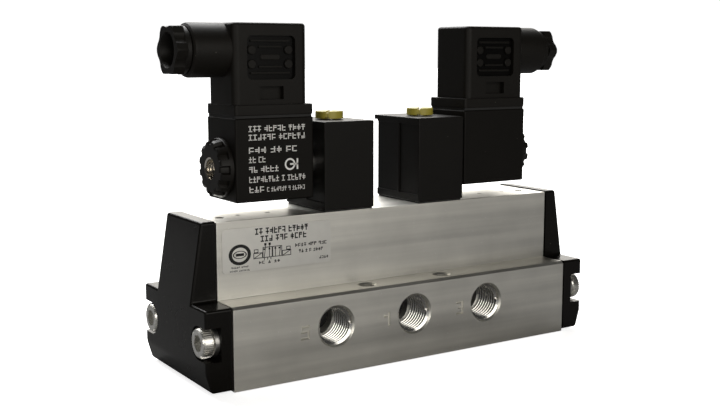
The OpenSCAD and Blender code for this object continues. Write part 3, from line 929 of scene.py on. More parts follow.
def stepped(name, low, high, tower):
    """The valve's cross-section: a block as high as the ledge, raised to full height in its middle.

    tower is half the raised part's width. The piece is left open in edit mode.
    """
    piece = block(name, low, (high.x, high.y, LEDGE_HEIGHT))
    opened(piece)
    for y in (-tower, tower):
        bpy.ops.mesh.select_all(action="SELECT")
        bpy.ops.mesh.bisect(plane_co=(0, y, 0), plane_no=(0, 1, 0))
    pick(piece, "faces", lambda f: f.normal.z > 0.9 and abs(middle(f).y) < tower - 0.1)
    extruded((0, 0, high.z - LEDGE_HEIGHT))
    return piece


def stamped_stroke(x0, z0, x1, z1, depth):
    """One stroke of a stamped number: a groove with sloping sides, cut into a face at y = 0."""
    half, over = 0.5, 0.3
    spread = half * (1 + over / depth * 0.7)
    stroke = block("stroke", (x0 - spread, -over, z0 - spread), (x1 + spread, depth, z1 + spread))
    opened(stroke)
    pick(stroke, "faces", lambda f: f.normal.y > 0.9)
    bottom = half * 0.3
    bpy.ops.transform.resize(
        value=(
            (x1 - x0 + 2 * bottom) / (x1 - x0 + 2 * spread), 1,
            (z1 - z0 + 2 * bottom) / (z1 - z0 + 2 * spread),
        ),
        center_override=((x0 + x1) / 2, depth, (z0 + z1) / 2),
    )
    closed()
    return stroke


class VALVE_OT_body(bpy.types.Operator):
    """Models the extruded body with its ports, threads, holes and stamped numbers"""

    bl_idname = "valve.body"
    bl_label = "Valve Body"

    def execute(self, context):
        s = settings("body")
        low, high = corners("valve_body")
        body = stepped("body", low, high, -corners("nameplate")[1].y)
        pick(
            body, "edges",
            lambda e: abs(middle(e).z - LEDGE_HEIGHT) < 0.01 and abs(abs(middle(e).y) - high.y) < 0.01,
        )
        bpy.ops.mesh.bevel(offset=s.ledge_chamfer / MM, segments=1)
        closed()
        outward(body)
        soften(body, s.edge / MM, 2, 60)
        self.bores(body, high)
        self.holes(body, high)
        self.numbers(body, low)
        finish_piece(
            body, "body_extrusion", "valve", "aluminium", extruded_aluminium(), "valve_body"
        )
        self.threads(high)
        return {"FINISHED"}

    def bores(self, body, high):
        """The spool bore, the ports and the cap screws' holes."""
        s = settings("body")
        axis_z = mounts("threaded_hole")[0][1].z
        radius = lying("spool_spacers")[1] + RUNNING_GAP
        cut(body, bore(-high.x - 1, high.x + 1, radius, 0, axis_z, 96))
        for mount, place in mounts("threaded_hole"):
            facing = mount["axis"][1]
            tool = port_cutter(
                mount["dims"]["r_mm"], s.port_depth / MM, s.port_chamfer / MM, PASSAGE_RADIUS,
                high.y - 2,
            )
            cut(body, moved(tool, (place.x, facing * high.y, place.z), (-90 * facing, 0, 0)))
        for sx in (-1, 1):
            for y in (-CAP_SCREW_Y, CAP_SCREW_Y):
                x0, x1 = sorted((sx * (high.x - 14), sx * (high.x + 1)))
                cut(body, bore(x0, x1, 3, y, axis_z))

    def holes(self, body, high):
        """The mounting holes, and the plugged holes in the top."""
        for mount, place in mounts("bolt_pattern"):
            half = mount["dims"]["spacing_x_mm"] / 2
            for x in (-half, half):
                tool = hole_cutter(mount["dims"]["hole_r_mm"], 0.6, LEDGE_HEIGHT + 1)
                cut(body, moved(tool, (x, place.y, LEDGE_HEIGHT)))
        for x, y in PLUG_HOLES_AT:
            cut(body, moved(hole_cutter(1.5, 0.3, 5), (x, y, high.z)))
        for x, y in DIMPLES_AT:
            dimple = spun("dimple", [(0, -0.25), (0.8, -0.12), (1.15, 0.1), (0, 0.1)], 24)
            cut(body, moved(dimple, (x, y, high.z)))

    def numbers(self, body, low):
        """The port numbers, stamped to the left of the front ports."""
        s = settings("body")
        height_below_axis = 2.4
        for mount, place in mounts("threaded_hole"):
            if mount["axis"][1] < 0:
                height = s.stamp_height / MM - 1
                for x0, z0, x1, z1 in STAMPED[mount["name"][-1]]:
                    stroke = stamped_stroke(
                        x0 * height, z0 * height, x1 * height, z1 * height, s.stamp_depth / MM
                    )
                    at = (place.x - STAMP_LEFT_OF_PORT, low.y, place.z - height_below_axis)
                    cut(body, moved(stroke, at))

    def threads(self, high):
        """The ridges of the port threads."""
        s = settings("body")
        pitch = s.thread_pitch / MM
        for mount, place in mounts("threaded_hole"):
            radius = mount["dims"]["r_mm"]
            ridge = thread("thread", radius + 0.02, radius - s.thread_height / MM, pitch, 8)
            facing = mount["axis"][1]
            mouth = facing * (high.y - s.port_chamfer / MM)
            moved(ridge, (place.x, mouth, place.z), (90 * facing, 0, 0))
            finish_piece(ridge, "thread_" + mount["name"], "valve", "aluminium", cut_aluminium())


class VALVE_OT_caps(bpy.types.Operator):
    """Models the two end caps with their screw pockets"""

    bl_idname = "valve.caps"
    bl_label = "End Caps"

    def execute(self, context):
        s = settings("body")
        low, high = corners("end_cap_right")
        inner = corners("end_gaskets")[1].x
        top_inset, foot_inset, foot_height = 4.2, 1.9, 6.5
        cap = stepped(
            "cap", (inner, low.y, low.z), high, -corners("nameplate")[1].y + CAP_PROUD
        )
        pick(cap, "verts", lambda v: v.co.z > high.z - 0.01 and v.co.x > high.x - 0.01)
        bpy.ops.transform.translate(value=(-top_inset, 0, 0))
        bpy.ops.mesh.select_all(action="SELECT")
        bpy.ops.mesh.bisect(
            plane_co=(high.x, 0, low.z + foot_height),
            plane_no=Vector((foot_height, 0, -foot_inset)).normalized(),
            use_fill=True, clear_outer=True,
        )
        closed()
        outward(cap)
        opened(cap)

        def outer_edge(edge):
            on_face = all(v.co.x < inner + 0.01 for v in edge.verts)
            return not on_face and edge.calc_face_angle(0) > math.radians(12)

        pick(cap, "edges", outer_edge)
        bpy.ops.mesh.bevel(offset=s.cap_round / MM, segments=4)
        closed()
        cut(cap, *self.pockets(high))
        soften(cap, 0.15, 2, 50)
        finish_both(cap, "cap_shell", "valve", "cap_plastic", cap_plastic(), "end_cap_{side}")
        return {"FINISHED"}

    def pockets(self, high):
        """The open-sided pockets of the two screws, and the screws' holes."""
        floor = corners("spring_washers")[1].x - WASHER_HEIGHT
        z = mounts("threaded_hole")[0][1].z
        radius = 5.5
        tools = []
        for s in (-1, 1):
            y = s * CAP_SCREW_Y
            low_y, high_y = sorted((y, s * (high.y + 1)))
            tools.append(bore(floor, high.x + 1, radius, y, z, 64))
            tools.append(
                block("slot", (floor, low_y, z - radius), (high.x + 1, high_y, z + radius))
            )
            tools.append(bore(high.x - 20, floor + 1, 3.2, y, z))
        return tools


class VALVE_OT_cap_screws(bpy.types.Operator):
    """Models the four socket screws and their split washers"""

    bl_idname = "valve.cap_screws"
    bl_label = "Cap Screws"

    def execute(self, context):
        z = mounts("threaded_hole")[0][1].z
        top = corners("cap_screws")[1].x
        height = 4
        screw = lobed(
            "screw", 5, 0.3, 38, 0.42,
            [(0, 0.86), (0.65, 1), (height - 0.75, 1), (height - 0.45, 0.975), (height, 0.90)],
        )
        socket = rod("socket", height - 2.2, height + 1, 2.9, 6)
        mouth = spun(
            "mouth",
            [(0, height - 0.15), (2.5, height - 0.15), (3.2, height + 0.4), (0, height + 0.4)],
            48,
        )
        cut(screw, moved(socket, turn=(0, 0, 12)), mouth)
        shank = spun("shank", [(0, -11.8), (2.3, -11.8), (2.95, -11.2), (2.95, 0.5), (0, 0.5)], 32)
        cut(screw, shank, operation="UNION")
        along_x(screw, top - height, 0, z)
        washer = self.washer()
        along_x(washer, corners("spring_washers")[1].x - WASHER_HEIGHT, 0, z)
        for sx, side in ((1, "right"), (-1, "left")):
            for sy, place in ((-1, "front"), (1, "back")):
                turn = (0, 0, 0 if sx > 0 else 180)
                at = (0, sy * CAP_SCREW_Y, 0)
                finish_piece(
                    copied(screw, "cap_screw", at, turn), f"cap_screw_{side}_{place}",
                    "valve", "zinc_steel", zinc_plate(), "cap_screws",
                )
                finish_piece(
                    copied(washer, "washer", at, turn), f"cap_washer_{side}_{place}",
                    "valve", "spring_steel", spring_steel(), "spring_washers",
                )
        removed(screw)
        removed(washer)
        return {"FINISHED"}

    def washer(self):
        """A split washer, lying on the XY plane."""
        ring = spun(
            "washer",
            [(3.05, 0.1), (3.15, 0), (4.7, 0), (4.8, 0.1), (4.8, 1.5), (4.7, WASHER_HEIGHT),
             (3.15, WASHER_HEIGHT), (3.05, 1.5)],
            56,
        )
        split = block("split", (2, -0.35, -1), (6, 0.35, 3))
        cut(ring, moved(split, turn=(25, 0, 0)))
        return ring


class VALVE_OT_nameplate(bpy.types.Operator):
    """Models the foil label and its printed marks"""

    bl_idname = "valve.nameplate"
    bl_label = "Nameplate"

    def execute(self, context):
        low, high = corners("nameplate")
        plate = block("plate", low, high)
        opened(plate)
        pick(plate, "edges", lambda e: abs(e.verts[0].co.y - e.verts[1].co.y) > 0.05)
        bpy.ops.mesh.bevel(offset=1.2, segments=5)
        closed()
        soften(plate, 0.04, 1, 60)
        finish_piece(plate, "label_plate", "valve", "label_foil", label_foil(), "nameplate")
        marks = Marks(low.y, 1.0)
        left, top = low.x, high.z
        marks.words(left + 11.9, left + 32, top - 2.7, 2.1, (2, 5, 5))
        marks.words(left + 13.9, left + 31.4, top - 5.2, 2.0, (3, 3, 4))
        marks.words(left + 26.8, left + 39.2, top - 8.1, 1.15, (4, 3, 3))
        marks.words(left + 28.2, left + 37.7, top - 10.2, 1.15, (2, 1, 1, 4))
        marks.words(left + 36.1, left + 39.8, top - 13, 0.95, (4,))
        self.emblem(marks, left + 6.3, top - 8.7)
        self.symbol(marks, left + 18.2, top - 8.8)
        material = ink("label_ink", (0.004, 0.004, 0.004))
        finish_piece(marks.piece("marks"), "label_print", "valve", "label_foil", material)
        return {"FINISHED"}

    def emblem(self, marks, x, z):
        """A plain oval badge with a bar across it, and two small lines below."""
        marks.ring(x, z, 4.0, 3.4, 1.2)
        marks.ring(x, z, 2.5, 1.3, 0.45)
        marks.bar(x - 1.5, z - 0.45, x + 1.5, z + 0.45)
        marks.words(x - 3.2, x + 3.2, z - 4.4, 0.55, (5, 4))
        marks.words(x - 3.6, x + 3.6, z - 5.5, 0.5, (5, 7))

    def symbol(self, marks, x, z):
        """The standard sign of a five-port, two-position valve with two solenoids."""
        size, line = 3.6, 0.24
        low, high = z - size / 2, z + size / 2
        for i in (-1, 0):
            marks.frame(x + i * size, low, x + (i + 1) * size, high, line)
        for x0, x1 in ((-3.1, -2.5), (-1.1, -1.1), (1.1, 1.1), (2.5, 3.1)):
            marks.slant(x + x0, low, x + x1, high, line)
        for dx in (-3.0, -1.1, 1.1, 2.6):
            marks.bar(x + dx - 0.32, high - 1.0, x + dx + 0.32, high - 0.45)
        for end in (-1, 1):
            inner, outer = sorted((x + end * size, x + end * (size + 3.4)))
            marks.frame(inner, low, outer, z + 0.1, line)
            marks.slant(inner, low, outer, z + 0.1, line)
            inner, outer = sorted((x + end * (size + 1.6), x + end * (size + 3.2)))
            marks.frame(inner, z + 0.1, outer, high - 0.5, line)
        for dx in (-2.6, -1.0):
            marks.bar(x + dx - 0.13, high, x + dx + 0.13, high + 1.0)
            marks.bar(x + dx - 0.4, high + 0.5, x + dx + 0.4, high + 1.3)
        for dx in (-3.0, -1.8, -0.6):
            marks.bar(x + dx - 0.13, low - 0.7, x + dx + 0.13, low)
        marks.words(x - 5.0, x + 3.0, low - 1.9, 0.95, (2, 1, 2), 0.9)


class Marks:
    """Flat printed marks on a face that looks along -Y, gathered into one piece."""

    def __init__(self, face, weight):
        self.face = face
        self.weight = weight
        self.thickness = 0.02
        self.pieces = []

    def bar(self, x0, z0, x1, z1):
        """A filled rectangle."""
        self.pieces.append(
            block("mark", (x0, self.face - self.thickness, z0), (x1, self.face + 0.005, z1))
        )

    def frame(self, x0, z0, x1, z1, line):
        """A rectangle's outline."""
        self.bar(x0, z0, x1, z0 + line)
        self.bar(x0, z1 - line, x1, z1)
        self.bar(x0, z0 + line, x0 + line, z1 - line)
        self.bar(x1 - line, z0 + line, x1, z1 - line)

    def slant(self, x0, z0, x1, z1, line):
        """A straight line from one point to another."""
        run = math.hypot(x1 - x0, z1 - z0)
        half = self.thickness / 2 + 0.002
        stroke = block("mark", (0, -half, -line / 2), (run, half, line / 2))
        turn = -math.degrees(math.atan2(z1 - z0, x1 - x0))
        self.pieces.append(moved(stroke, (x0, self.face - half, z0), (0, turn, 0)))

    def ring(self, x, z, half_width, half_height, line):
        """An oval outline."""
        inner = 1 - line / half_width
        oval = spun(
            "mark", [(inner, 0), (1, 0), (1, self.thickness), (inner, self.thickness)], 40
        )
        oval.scale = (half_width, half_height, 1)
        apply_place(oval)
        self.pieces.append(moved(oval, (x, self.face, z), (90, 0, 0)))

    def words(self, x0, x1, z, height, words, space=0.55):
        """A line of made-up signs from x0 to x1 that stands for words and can't be read.

        words holds the number of signs in each, and space is the gap between two words.
        """
        draw = random.Random(len(self.pieces))
        pitch = (x1 - x0) / (sum(words) + space * (len(words) - 1))
        cell_x, cell_z = pitch * 0.26, height / 5
        for signs in words:
            for _ in range(signs):
                self.sign(draw, x0, z, cell_x, cell_z)
                x0 += pitch
            x0 += pitch * space

    def sign(self, draw, x, z, cell_x, cell_z):
        """One made-up sign: an upright, and strokes on both sides of it at odd heights."""
        width, top = 3 * cell_x, 5 * cell_z
        stem = x + draw.choice((0, 1, 2)) * cell_x
        self.bar(stem, z, stem + cell_x * self.weight, z + top)
        for level in draw.sample((0, 1.3, 2.6, 4), 2):
            self.bar(x, z + level * cell_z, x + width, z + (level + self.weight) * cell_z)

    def piece(self, name):
        """All the marks as one piece."""
        return joined(self.pieces, name)


# ---------------------------------------------------------------- pilot valves

class VALVE_OT_pilots(bpy.types.Operator):
    """Models the pilot blocks and their covers"""

    bl_idname = "valve.pilots"
    bl_label = "Pilot Blocks"

    def execute(self, context):
        s = settings("pilot")
        low, high = corners("pilot_block_right")
        axis_z, tube_radius = lying("armature_tube_right")
        pilot = block("pilot", low, high)
        opened(pilot)
        pick(pilot, "edges", lambda e: middle(e).z < high.z - 0.01)
        bpy.ops.mesh.bevel(offset=s.block_edge / MM, segments=3)
        closed()
        for x in (low.x, high.x):
            for y0, y1 in ((low.y + 1.4, -0.8), (0.8, high.y + 1)):
                panel = block("panel", (x - 0.5, y0, low.z + 2.5), (x + 0.5, y1, high.z - 0.6))
                soften(panel, 0.2, 2, 60)
                cut(pilot, panel)
        stem_low, stem_high = corners("override_stem_right")
        stem_radius = (stem_high.x - stem_low.x) / 2 + RUNNING_GAP
        stem_x = (stem_high.x + stem_low.x) / 2
        collar_x = corners("armature_tube_right")[0].x
        cut(
            pilot,
            bore(collar_x - 2.5, high.x + 1, 4.6, 0, axis_z),
            bore(collar_x, high.x + 1, tube_radius + RUNNING_GAP, 0, axis_z),
            moved(rod("stem_hole", stem_low.z - 0.2, high.z + 1, stem_radius, 40), (stem_x, 0, 0)),
        )
        for x, y in PILOT_SCREWS_AT:
            hole = spun(
                "screw_hole",
                [(0, low.z - 1), (1.85, low.z - 1), (1.85, high.z - 3), (3.1, high.z - 3),
                 (3.1, high.z + 1), (0, high.z + 1)],
                40,
            )
            cut(pilot, moved(hole, (x, y, 0)))
        finish_sides(
            pilot, mirrored(pilot, "pilot"), "pilot_shell", "valve", "black_block",
            block_plastic(), "pilot_block_{side}",
        )
        low, high = corners("pilot_cover_right")
        cover = block("cover", low, high)
        opened(cover)
        pick(cover, "edges", lambda e: middle(e).z > low.z + 0.01)
        bpy.ops.mesh.bevel(offset=s.block_edge / MM, segments=3)
        closed()
        cut(cover, moved(rod("stem_hole", low.z - 1, high.z + 1, stem_radius, 40), (stem_x, 0, 0)))
        finish_sides(
            cover, mirrored(cover, "cover"), "pilot_lid", "valve", "black_block",
            block_plastic(), "pilot_cover_{side}",
        )
        return {"FINISHED"}


class VALVE_OT_overrides(bpy.types.Operator):
    """Models the yellow manual override buttons"""

    bl_idname = "valve.overrides"
    bl_label = "Override Buttons"

    def execute(self, context):
        low, high = corners("override_button_right")
        radius = (high.y - low.y) / 2
        height = high.z - low.z
        button = spun(
            "button",
            [(0, 0), (radius - 0.12, 0), (radius, 0.12), (radius, height - 0.35),
             (radius - 0.1, height - 0.1), (radius - 0.35, height), (0, height)],
            96,
        )
        stem_low, stem_high = corners("override_stem_right")
        stem_radius = (stem_high.x - stem_low.x) / 2
        slot = block("slot", (-radius - 1, -0.5, height - 0.55), (radius + 1, 0.5, height + 1))
        side_slot = block("slot", (radius - 0.35, -0.4, -1), (radius + 1, 0.4, height + 1))
        cut(
            button, rod("stem_hole", -1, stem_high.z - low.z, stem_radius, 48),
            copied(side_slot, "slot", turn=(0, 0, SLOT_TURN + 180)),
            moved(side_slot, turn=(0, 0, SLOT_TURN)),
            moved(slot, turn=(0, 0, SLOT_TURN)),
        )
        for turn in (SLOT_TURN, SLOT_TURN + 180):
            notch = block("notch", (radius - 1.6, -0.8, -1), (radius + 1, 0.8, 0.55))
            cut(button, moved(notch, turn=(0, 0, turn)))
        soften(button, 0.06, 1, 50)
        moved(button, ((low.x + high.x) / 2, 0, low.z))
        finish_both(
            button, "override_cap", "override_{side}", "yellow_plastic", button_plastic(),
            "override_button_{side}",
        )
        return {"FINISHED"}


# ---------------------------------------------------------------- solenoids

class VALVE_OT_coils(bpy.types.Operator):
    """Models the moulded coils and the printing on them"""

    bl_idname = "valve.coils"
    bl_label = "Coils"

    def execute(self, context):
        s = settings("pilot")
        low, high = corners("coil_right")
        axis_z = lying("armature_tube_right")[0]
        winding_low, winding_high = corners("coil_winding_right")
        coil = block("coil", low, high)
        soften(coil, s.coil_edge / MM, 4, 60)
        outer = lying("coil_winding_right")[1] + RUNNING_GAP
        ring = spun(
            "ring",
            [(5.4, 0), (outer, 0), (outer, winding_high.x - winding_low.x),
             (5.4, winding_high.x - winding_low.x)],
        )
        cut(
            coil, bore(low.x - 1, high.x + 1, 4.55, 0, axis_z),
            along_x(ring, winding_low.x, 0, axis_z),
        )
        finish_both(coil, "coil_body", "valve", "coil_resin", coil_resin(), "coil_{side}")
        self.printing(low, high)
        return {"FINISHED"}

    def printing(self, low, high):
        """Unreadable white printing, on the front of the left coil and the back of the right."""
        marks = Marks(-high.y, 0.75)
        left = -high.x + 4.7
        rows = (
            (81.1, 2.0, 21.3, (3, 5, 4)), (78.3, 2.0, 21.3, (6, 6)), (74.1, 2.0, 18.3, (3, 2, 2)),
            (71.0, 2.0, 6.3, (2, 2)), (67.8, 2.0, 11.2, (2, 4)), (64.5, 2.0, 21.3, (8, 1, 5)),
            (61.2, 2.0, 5.8, (3,)),
        )
        for z, height, width, words in rows:
            marks.words(left, left + width, z, height, words)
        marks.words(left + 6.5, left + 21, 61.2, 1.55, (1, 6, 1, 5))
        marks.ring(left + 15.2, 69.9, 2.0, 2.0, 0.6)
        marks.bar(left + 15.2, 69.6, left + 18.3, 70.2)
        marks.bar(left + 17.7, 68.1, left + 18.3, 71.7)
        print_front = marks.piece("printing")
        print_back = copied(print_front, "printing", turn=(0, 0, 180))
        material = ink("white_ink", settings("pilot").print_ink)
        for side, piece in (("left", print_front), ("right", print_back)):
            finish_piece(piece, f"coil_print_{side}", "valve", "coil_resin", material)


class VALVE_OT_coil_nuts(bpy.types.Operator):
    """Models the lobed coil nuts and their threaded metal bushes"""

    bl_idname = "valve.coil_nuts"
    bl_label = "Coil Nuts"

    def execute(self, context):
        s = settings("pilot")
        low, high = corners("coil_nut_right")
        axis_z, radius = lying("coil_nut_right")
        height = high.x - low.x
        insert_low, insert_high = corners("coil_nut_insert_right")
        insert = lying("coil_nut_insert_right")[1]
        nut = lobed(
            "nut", radius, 1.15, s.nut_lobes, 0.42,
            [(0, 0.99), (0.25, 1), (height - 0.9, 0.925), (height - 0.3, 0.89), (height, 0.83)],
        )
        base = spun("base", [(0, 0), (radius, 0), (radius, 0.9), (radius - 0.25, 1.2), (0, 1.2)], 96)
        cut(nut, base, operation="UNION")
        mouth = spun(
            "mouth",
            [(0, -1), (insert + 0.02, -1), (insert + 0.02, insert_high.x - low.x),
             (3.7, insert_high.x - low.x), (3.7, height - 0.2), (3.9, height + 0.1), (0, height + 0.1)],
        )
        cut(nut, mouth)
        soften(nut, 0.15, 2, 40)
        along_x(nut, low.x, 0, axis_z)
        finish_both(
            nut, "nut_grip", "coil_nut_{side}", "nut_plastic", gland_plastic(), "coil_nut_{side}"
        )
        length_of_bush = insert_high.x - insert_low.x
        bush = spun(
            "bush",
            [(3.6, 0), (insert, 0), (insert, length_of_bush), (3.75, length_of_bush),
             (3.6, length_of_bush - 0.15)],
        )
        ridge = thread("ridge", 3.62, 3.03, 0.95, 4, 32)
        bush = joined([bush, ridge], "bush")
        along_x(bush, insert_low.x, 0, axis_z)
        finish_both(
            bush, "nut_bush", "coil_nut_{side}", "brass", bush_metal(), "coil_nut_insert_{side}"
        )
        return {"FINISHED"}


# ---------------------------------------------------------------- connectors

class VALVE_OT_connectors(bpy.types.Operator):
    """Models the two connector housings with their windows and gland barrels"""

    bl_idname = "valve.connectors"
    bl_label = "Connectors"

    def execute(self, context):
        shells, shade_panels = {}, {}
        for side, face in (("right", -1), ("left", 1)):
            shell = self.shell()
            shade_panels[side] = self.window(shell, face)
            shells[side] = shell
        moved(shells["left"], turn=(0, 0, 180))
        moved(shade_panels["left"], turn=(0, 0, 180))
        # The window panels are dark sheets that paint the shade in the window recesses
        finish_sides(
            shade_panels["right"], shade_panels["left"], "window_panel", "valve", "connector_plastic",
            window_plastic(),
        )
        finish_sides(
            shells["right"], shells["left"], "connector_shell", "valve", "connector_plastic",
            housing_plastic(), "connector_{side}",
        )
        return {"FINISHED"}

    def shell(self):
        """The housing, its flange and its gland barrel, hollow, drawn on the right."""
        s = settings("connector")
        low, high = corners("connector_right")
        coil_low, coil_high = corners("coil_right")
        shell = upright("shell", HOUSING_LOW, (HOUSING_HIGH[0], HOUSING_HIGH[1], high.z), s.corner / MM, 6)
        opened(shell)
        pick(
            shell, "edges",
            lambda e: all(v.co.z > high.z - 0.01 for v in e.verts) and len(e.link_faces) == 2,
        )
        bpy.ops.mesh.bevel(offset=s.top_round / MM, segments=4)
        closed()
        flange = upright(
            "flange", (coil_low.x, coil_low.y, low.z), (coil_high.x, coil_high.y, FLANGE_TOP), 0.9, 4
        )
        soften(flange, 0.35, 2, 60)
        axis = mounts("bore")[1][1]
        barrel = spun(
            "barrel",
            [
                (0, 0), (7.0, 0), (7.35, 1.2), (8.85, 6.6), (8.85, 18.2), (8.6, 18.9),
                (7.95, high.x - BARREL_X), (0, high.x - BARREL_X),
            ],
            96,
        )
        along_x(barrel, BARREL_X, 0, axis.z)
        cut(shell, flange, barrel, operation="UNION")
        wall = 2
        cavity = block(
            "cavity", (HOUSING_LOW[0] + wall, HOUSING_LOW[1] + wall, low.z - 1),
            (HOUSING_HIGH[0] - wall, HOUSING_HIGH[1] - wall, high.z - 2 * wall),
        )
        middle_x = (coil_low.x + coil_high.x) / 2
        screw = spun(
            "screw_hole",
            [(0, high.z - 9), (1.6, high.z - 9), (1.6, high.z - 3.2), (3, high.z - 3.2),
             (3, high.z - 0.3), (3.9, high.z + 0.6), (0, high.z + 0.6)],
            48,
        )
        cut(
            shell, cavity, bore(58, high.x + 1, 4.2, 0, axis.z, 64),
            bore(61, high.x + 1, 6.95, 0, axis.z, 64), moved(screw, (middle_x, 0, 0)),
        )
        return shell

    def window(self, shell, face):
        """The recessed window with its bars and studs, its smooth panel darkened as painted shade of the
        recess, and the catch openings.
        """
        s = settings("connector")
        depth = s.window_depth / MM
        y = face * HOUSING_HIGH[1]
        low_x, low_z, high_x, high_z = WINDOW
        recess = block("recess", (low_x, y - depth, low_z), (high_x, y + depth, high_z))
        opened(recess)
        pick(recess, "edges", lambda e: abs(e.verts[0].co.y - e.verts[1].co.y) > 0.1)
        bpy.ops.mesh.bevel(offset=s.window_corner / MM, segments=5)
        closed()
        # The panel is a thin sheet of darker plastic on the recess floor: painted shade of the recess
        panel = copied(recess, "panel")
        y0, y1 = sorted((y - face * depth, y - face * (depth - 0.12)))
        cut(panel, block("layer", (0, y0, 0), (99, y1, 199)), operation="INTERSECT")
        cut(shell, recess)
        for side in (-1, 1):
            wall = side * HOUSING_HIGH[1]
            x0, z0, x1, z1 = CATCH_OPENING
            cut(shell, block("catch", (x0, wall - 2.5, z0), (x1, wall + 2.5, z1)))
        floor = y - face * depth
        for z, inset in ((110.4, 1.6), (108.5, 4.6), (102.0, 4.6), (100.0, 1.6)):
            y0, y1 = sorted((floor - face * 0.3, floor + face * 0.75))
            bar = block("bar", (low_x + inset, y0, z - 0.36), (high_x - inset, y1, z + 0.36))
            soften(bar, 0.2, 2, 60)
            cut(shell, bar, operation="UNION")
        for x in (low_x + 2.1, high_x - 2.1):
            for z in (107.5, 102.9):
                stud = spun("stud", [(0, -0.3), (1.5, -0.3), (1.5, 0.7), (1.3, 0.85), (0, 0.85)], 32)
                cut(shell, moved(stud, (x, floor, z), (-90 * face, 0, 0)), operation="UNION")
        pad = upright("pad", (-3.6, -0.9, -0.3), (3.6, 0.9, 0.45), 0.85, 5)
        soften(pad, 0.12, 1, 60)
        at = ((low_x + high_x) / 2, floor, 105.2)
        cut(shell, moved(pad, at, (-90 * face, 0, 0)), operation="UNION")
        cut(panel, copied(shell, "tool"))
        return panel


class VALVE_OT_glands(bpy.types.Operator):
    """Models the gland nuts with their hollowed faces"""

    bl_idname = "valve.glands"
    bl_label = "Gland Nuts"

    def execute(self, context):
        s = settings("connector")
        low, high = corners("gland_nut_right")
        axis = mounts("bore")[1][1]
        stem_radius, height, collar = 6.9, 5.55, 1.75
        head_x = high.x - height
        across_corners = (high.y - low.y) / 2
        nut = rod("nut", collar, height, across_corners, 6)
        flat = across_corners * math.cos(math.radians(30))
        chord = 1.9
        depth = s.scallop / MM
        hollow = (chord ** 2 + depth ** 2) / (2 * depth)
        for i in range(6):
            tool = rod("hollow", -1, height + 1, hollow, 96)
            distance = flat + hollow - depth
            angle = math.radians(60 * i)
            cut(nut, moved(tool, (distance * math.cos(angle), distance * math.sin(angle), 0)))
        limit = spun(
            "limit",
            [(0, -1), (across_corners - 0.08, -1), (across_corners - 0.08, height - 0.4),
             (across_corners - 0.45, height + 0.1), (0, height + 0.1)],
            96,
        )
        cut(nut, limit, operation="INTERSECT")
        soften(nut, 0.18, 2, 40)
        ring = spun(
            "ring",
            [(0, 0), (7.5, 0), (7.8, 0.3), (7.8, collar - 0.1), (7.5, collar + 0.3), (0, collar + 0.3)], 96,
        )
        cut(nut, ring, operation="UNION")
        stem_end = low.x - head_x
        stem = spun(
            "stem",
            [(0, stem_end), (stem_radius - 0.4, stem_end), (stem_radius, stem_end + 0.4),
             (stem_radius, 0.3), (0, 0.3)],
            64,
        )
        cut(nut, stem, operation="UNION")
        bore_tool = spun(
            "bore",
            [(0, stem_end - 1), (4.2, stem_end - 1), (4.2, height - 4.5), (5.2, height - 1.2),
             (5.9, height + 0.4), (0, height + 0.4)],
        )
        cut(nut, bore_tool)
        along_x(nut, head_x, 0, axis.z)
        finish_both(
            nut, "gland_cap", "gland_nut_{side}", "gland_plastic", gland_plastic(), "gland_nut_{side}"
        )
        return {"FINISHED"}


# ---------------------------------------------------------------- inner parts

class VALVE_OT_springs(bpy.types.Operator):
    """Models the plunger springs, each with a mesh of its own; the real springs shorten as the plungers lift
    """

    bl_idname = "valve.springs"
    bl_label = "Plunger Springs"

    def execute(self, context):
        wire = settings("pilot").spring_wire / MM / 2
        low, high = corners("plunger_spring_right")
        axis_z, radius = lying("plunger_spring_right")
        turns = 7
        pitch = (high.x - low.x - 2 * wire) / turns
        spring = wire_coil("spring", radius - wire, wire, pitch, turns)
        along_x(spring, low.x, 0, axis_z)
        finish_both(
            spring, "plunger_coil", "valve", "spring_steel", spring_steel(), "plunger_spring_{side}"
        )
        for side in ("right", "left"):
            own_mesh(bpy.data.objects[f"plunger_coil_{side}"])
        return {"FINISHED"}


class VALVE_OT_inner_parts(bpy.types.Operator):
    """Gives the pieces that keep their first shape their finishes"""

    bl_idname = "valve.inner_parts"
    bl_label = "Inner Parts"

    def execute(self, context):
        finishes = {
            "end_gaskets": black_rubber, "pilot_gasket": black_rubber, "piston_seals": black_rubber,
            "spool_seals": black_rubber, "plunger_seal": black_rubber, "gland_seal": black_rubber,
            "connector_gasket": black_rubber, "spool_spacers": piston_plastic, "spool": ground_steel,
            "piston": piston_plastic, "pilot_screws": zinc_plate, "override_stem": ground_steel,
            "armature_tube": ground_steel, "fixed_core": ground_steel, "plunger": ground_steel,
            "coil_winding": copper_wire, "contact_blades": tinned_brass,
            "terminal_block": housing_plastic, "connector_screw": zinc_plate, "gland_washer": zinc_plate,
        }
        for name, node in frame["nodes"].items():
            kind = name.removesuffix("_left").removesuffix("_right")
            if node.hide_render:
                continue
            node.data.materials.clear()
            node.data.materials.append(finishes[kind]())
        return {"FINISHED"}


# ---------------------------------------------------------------- stage

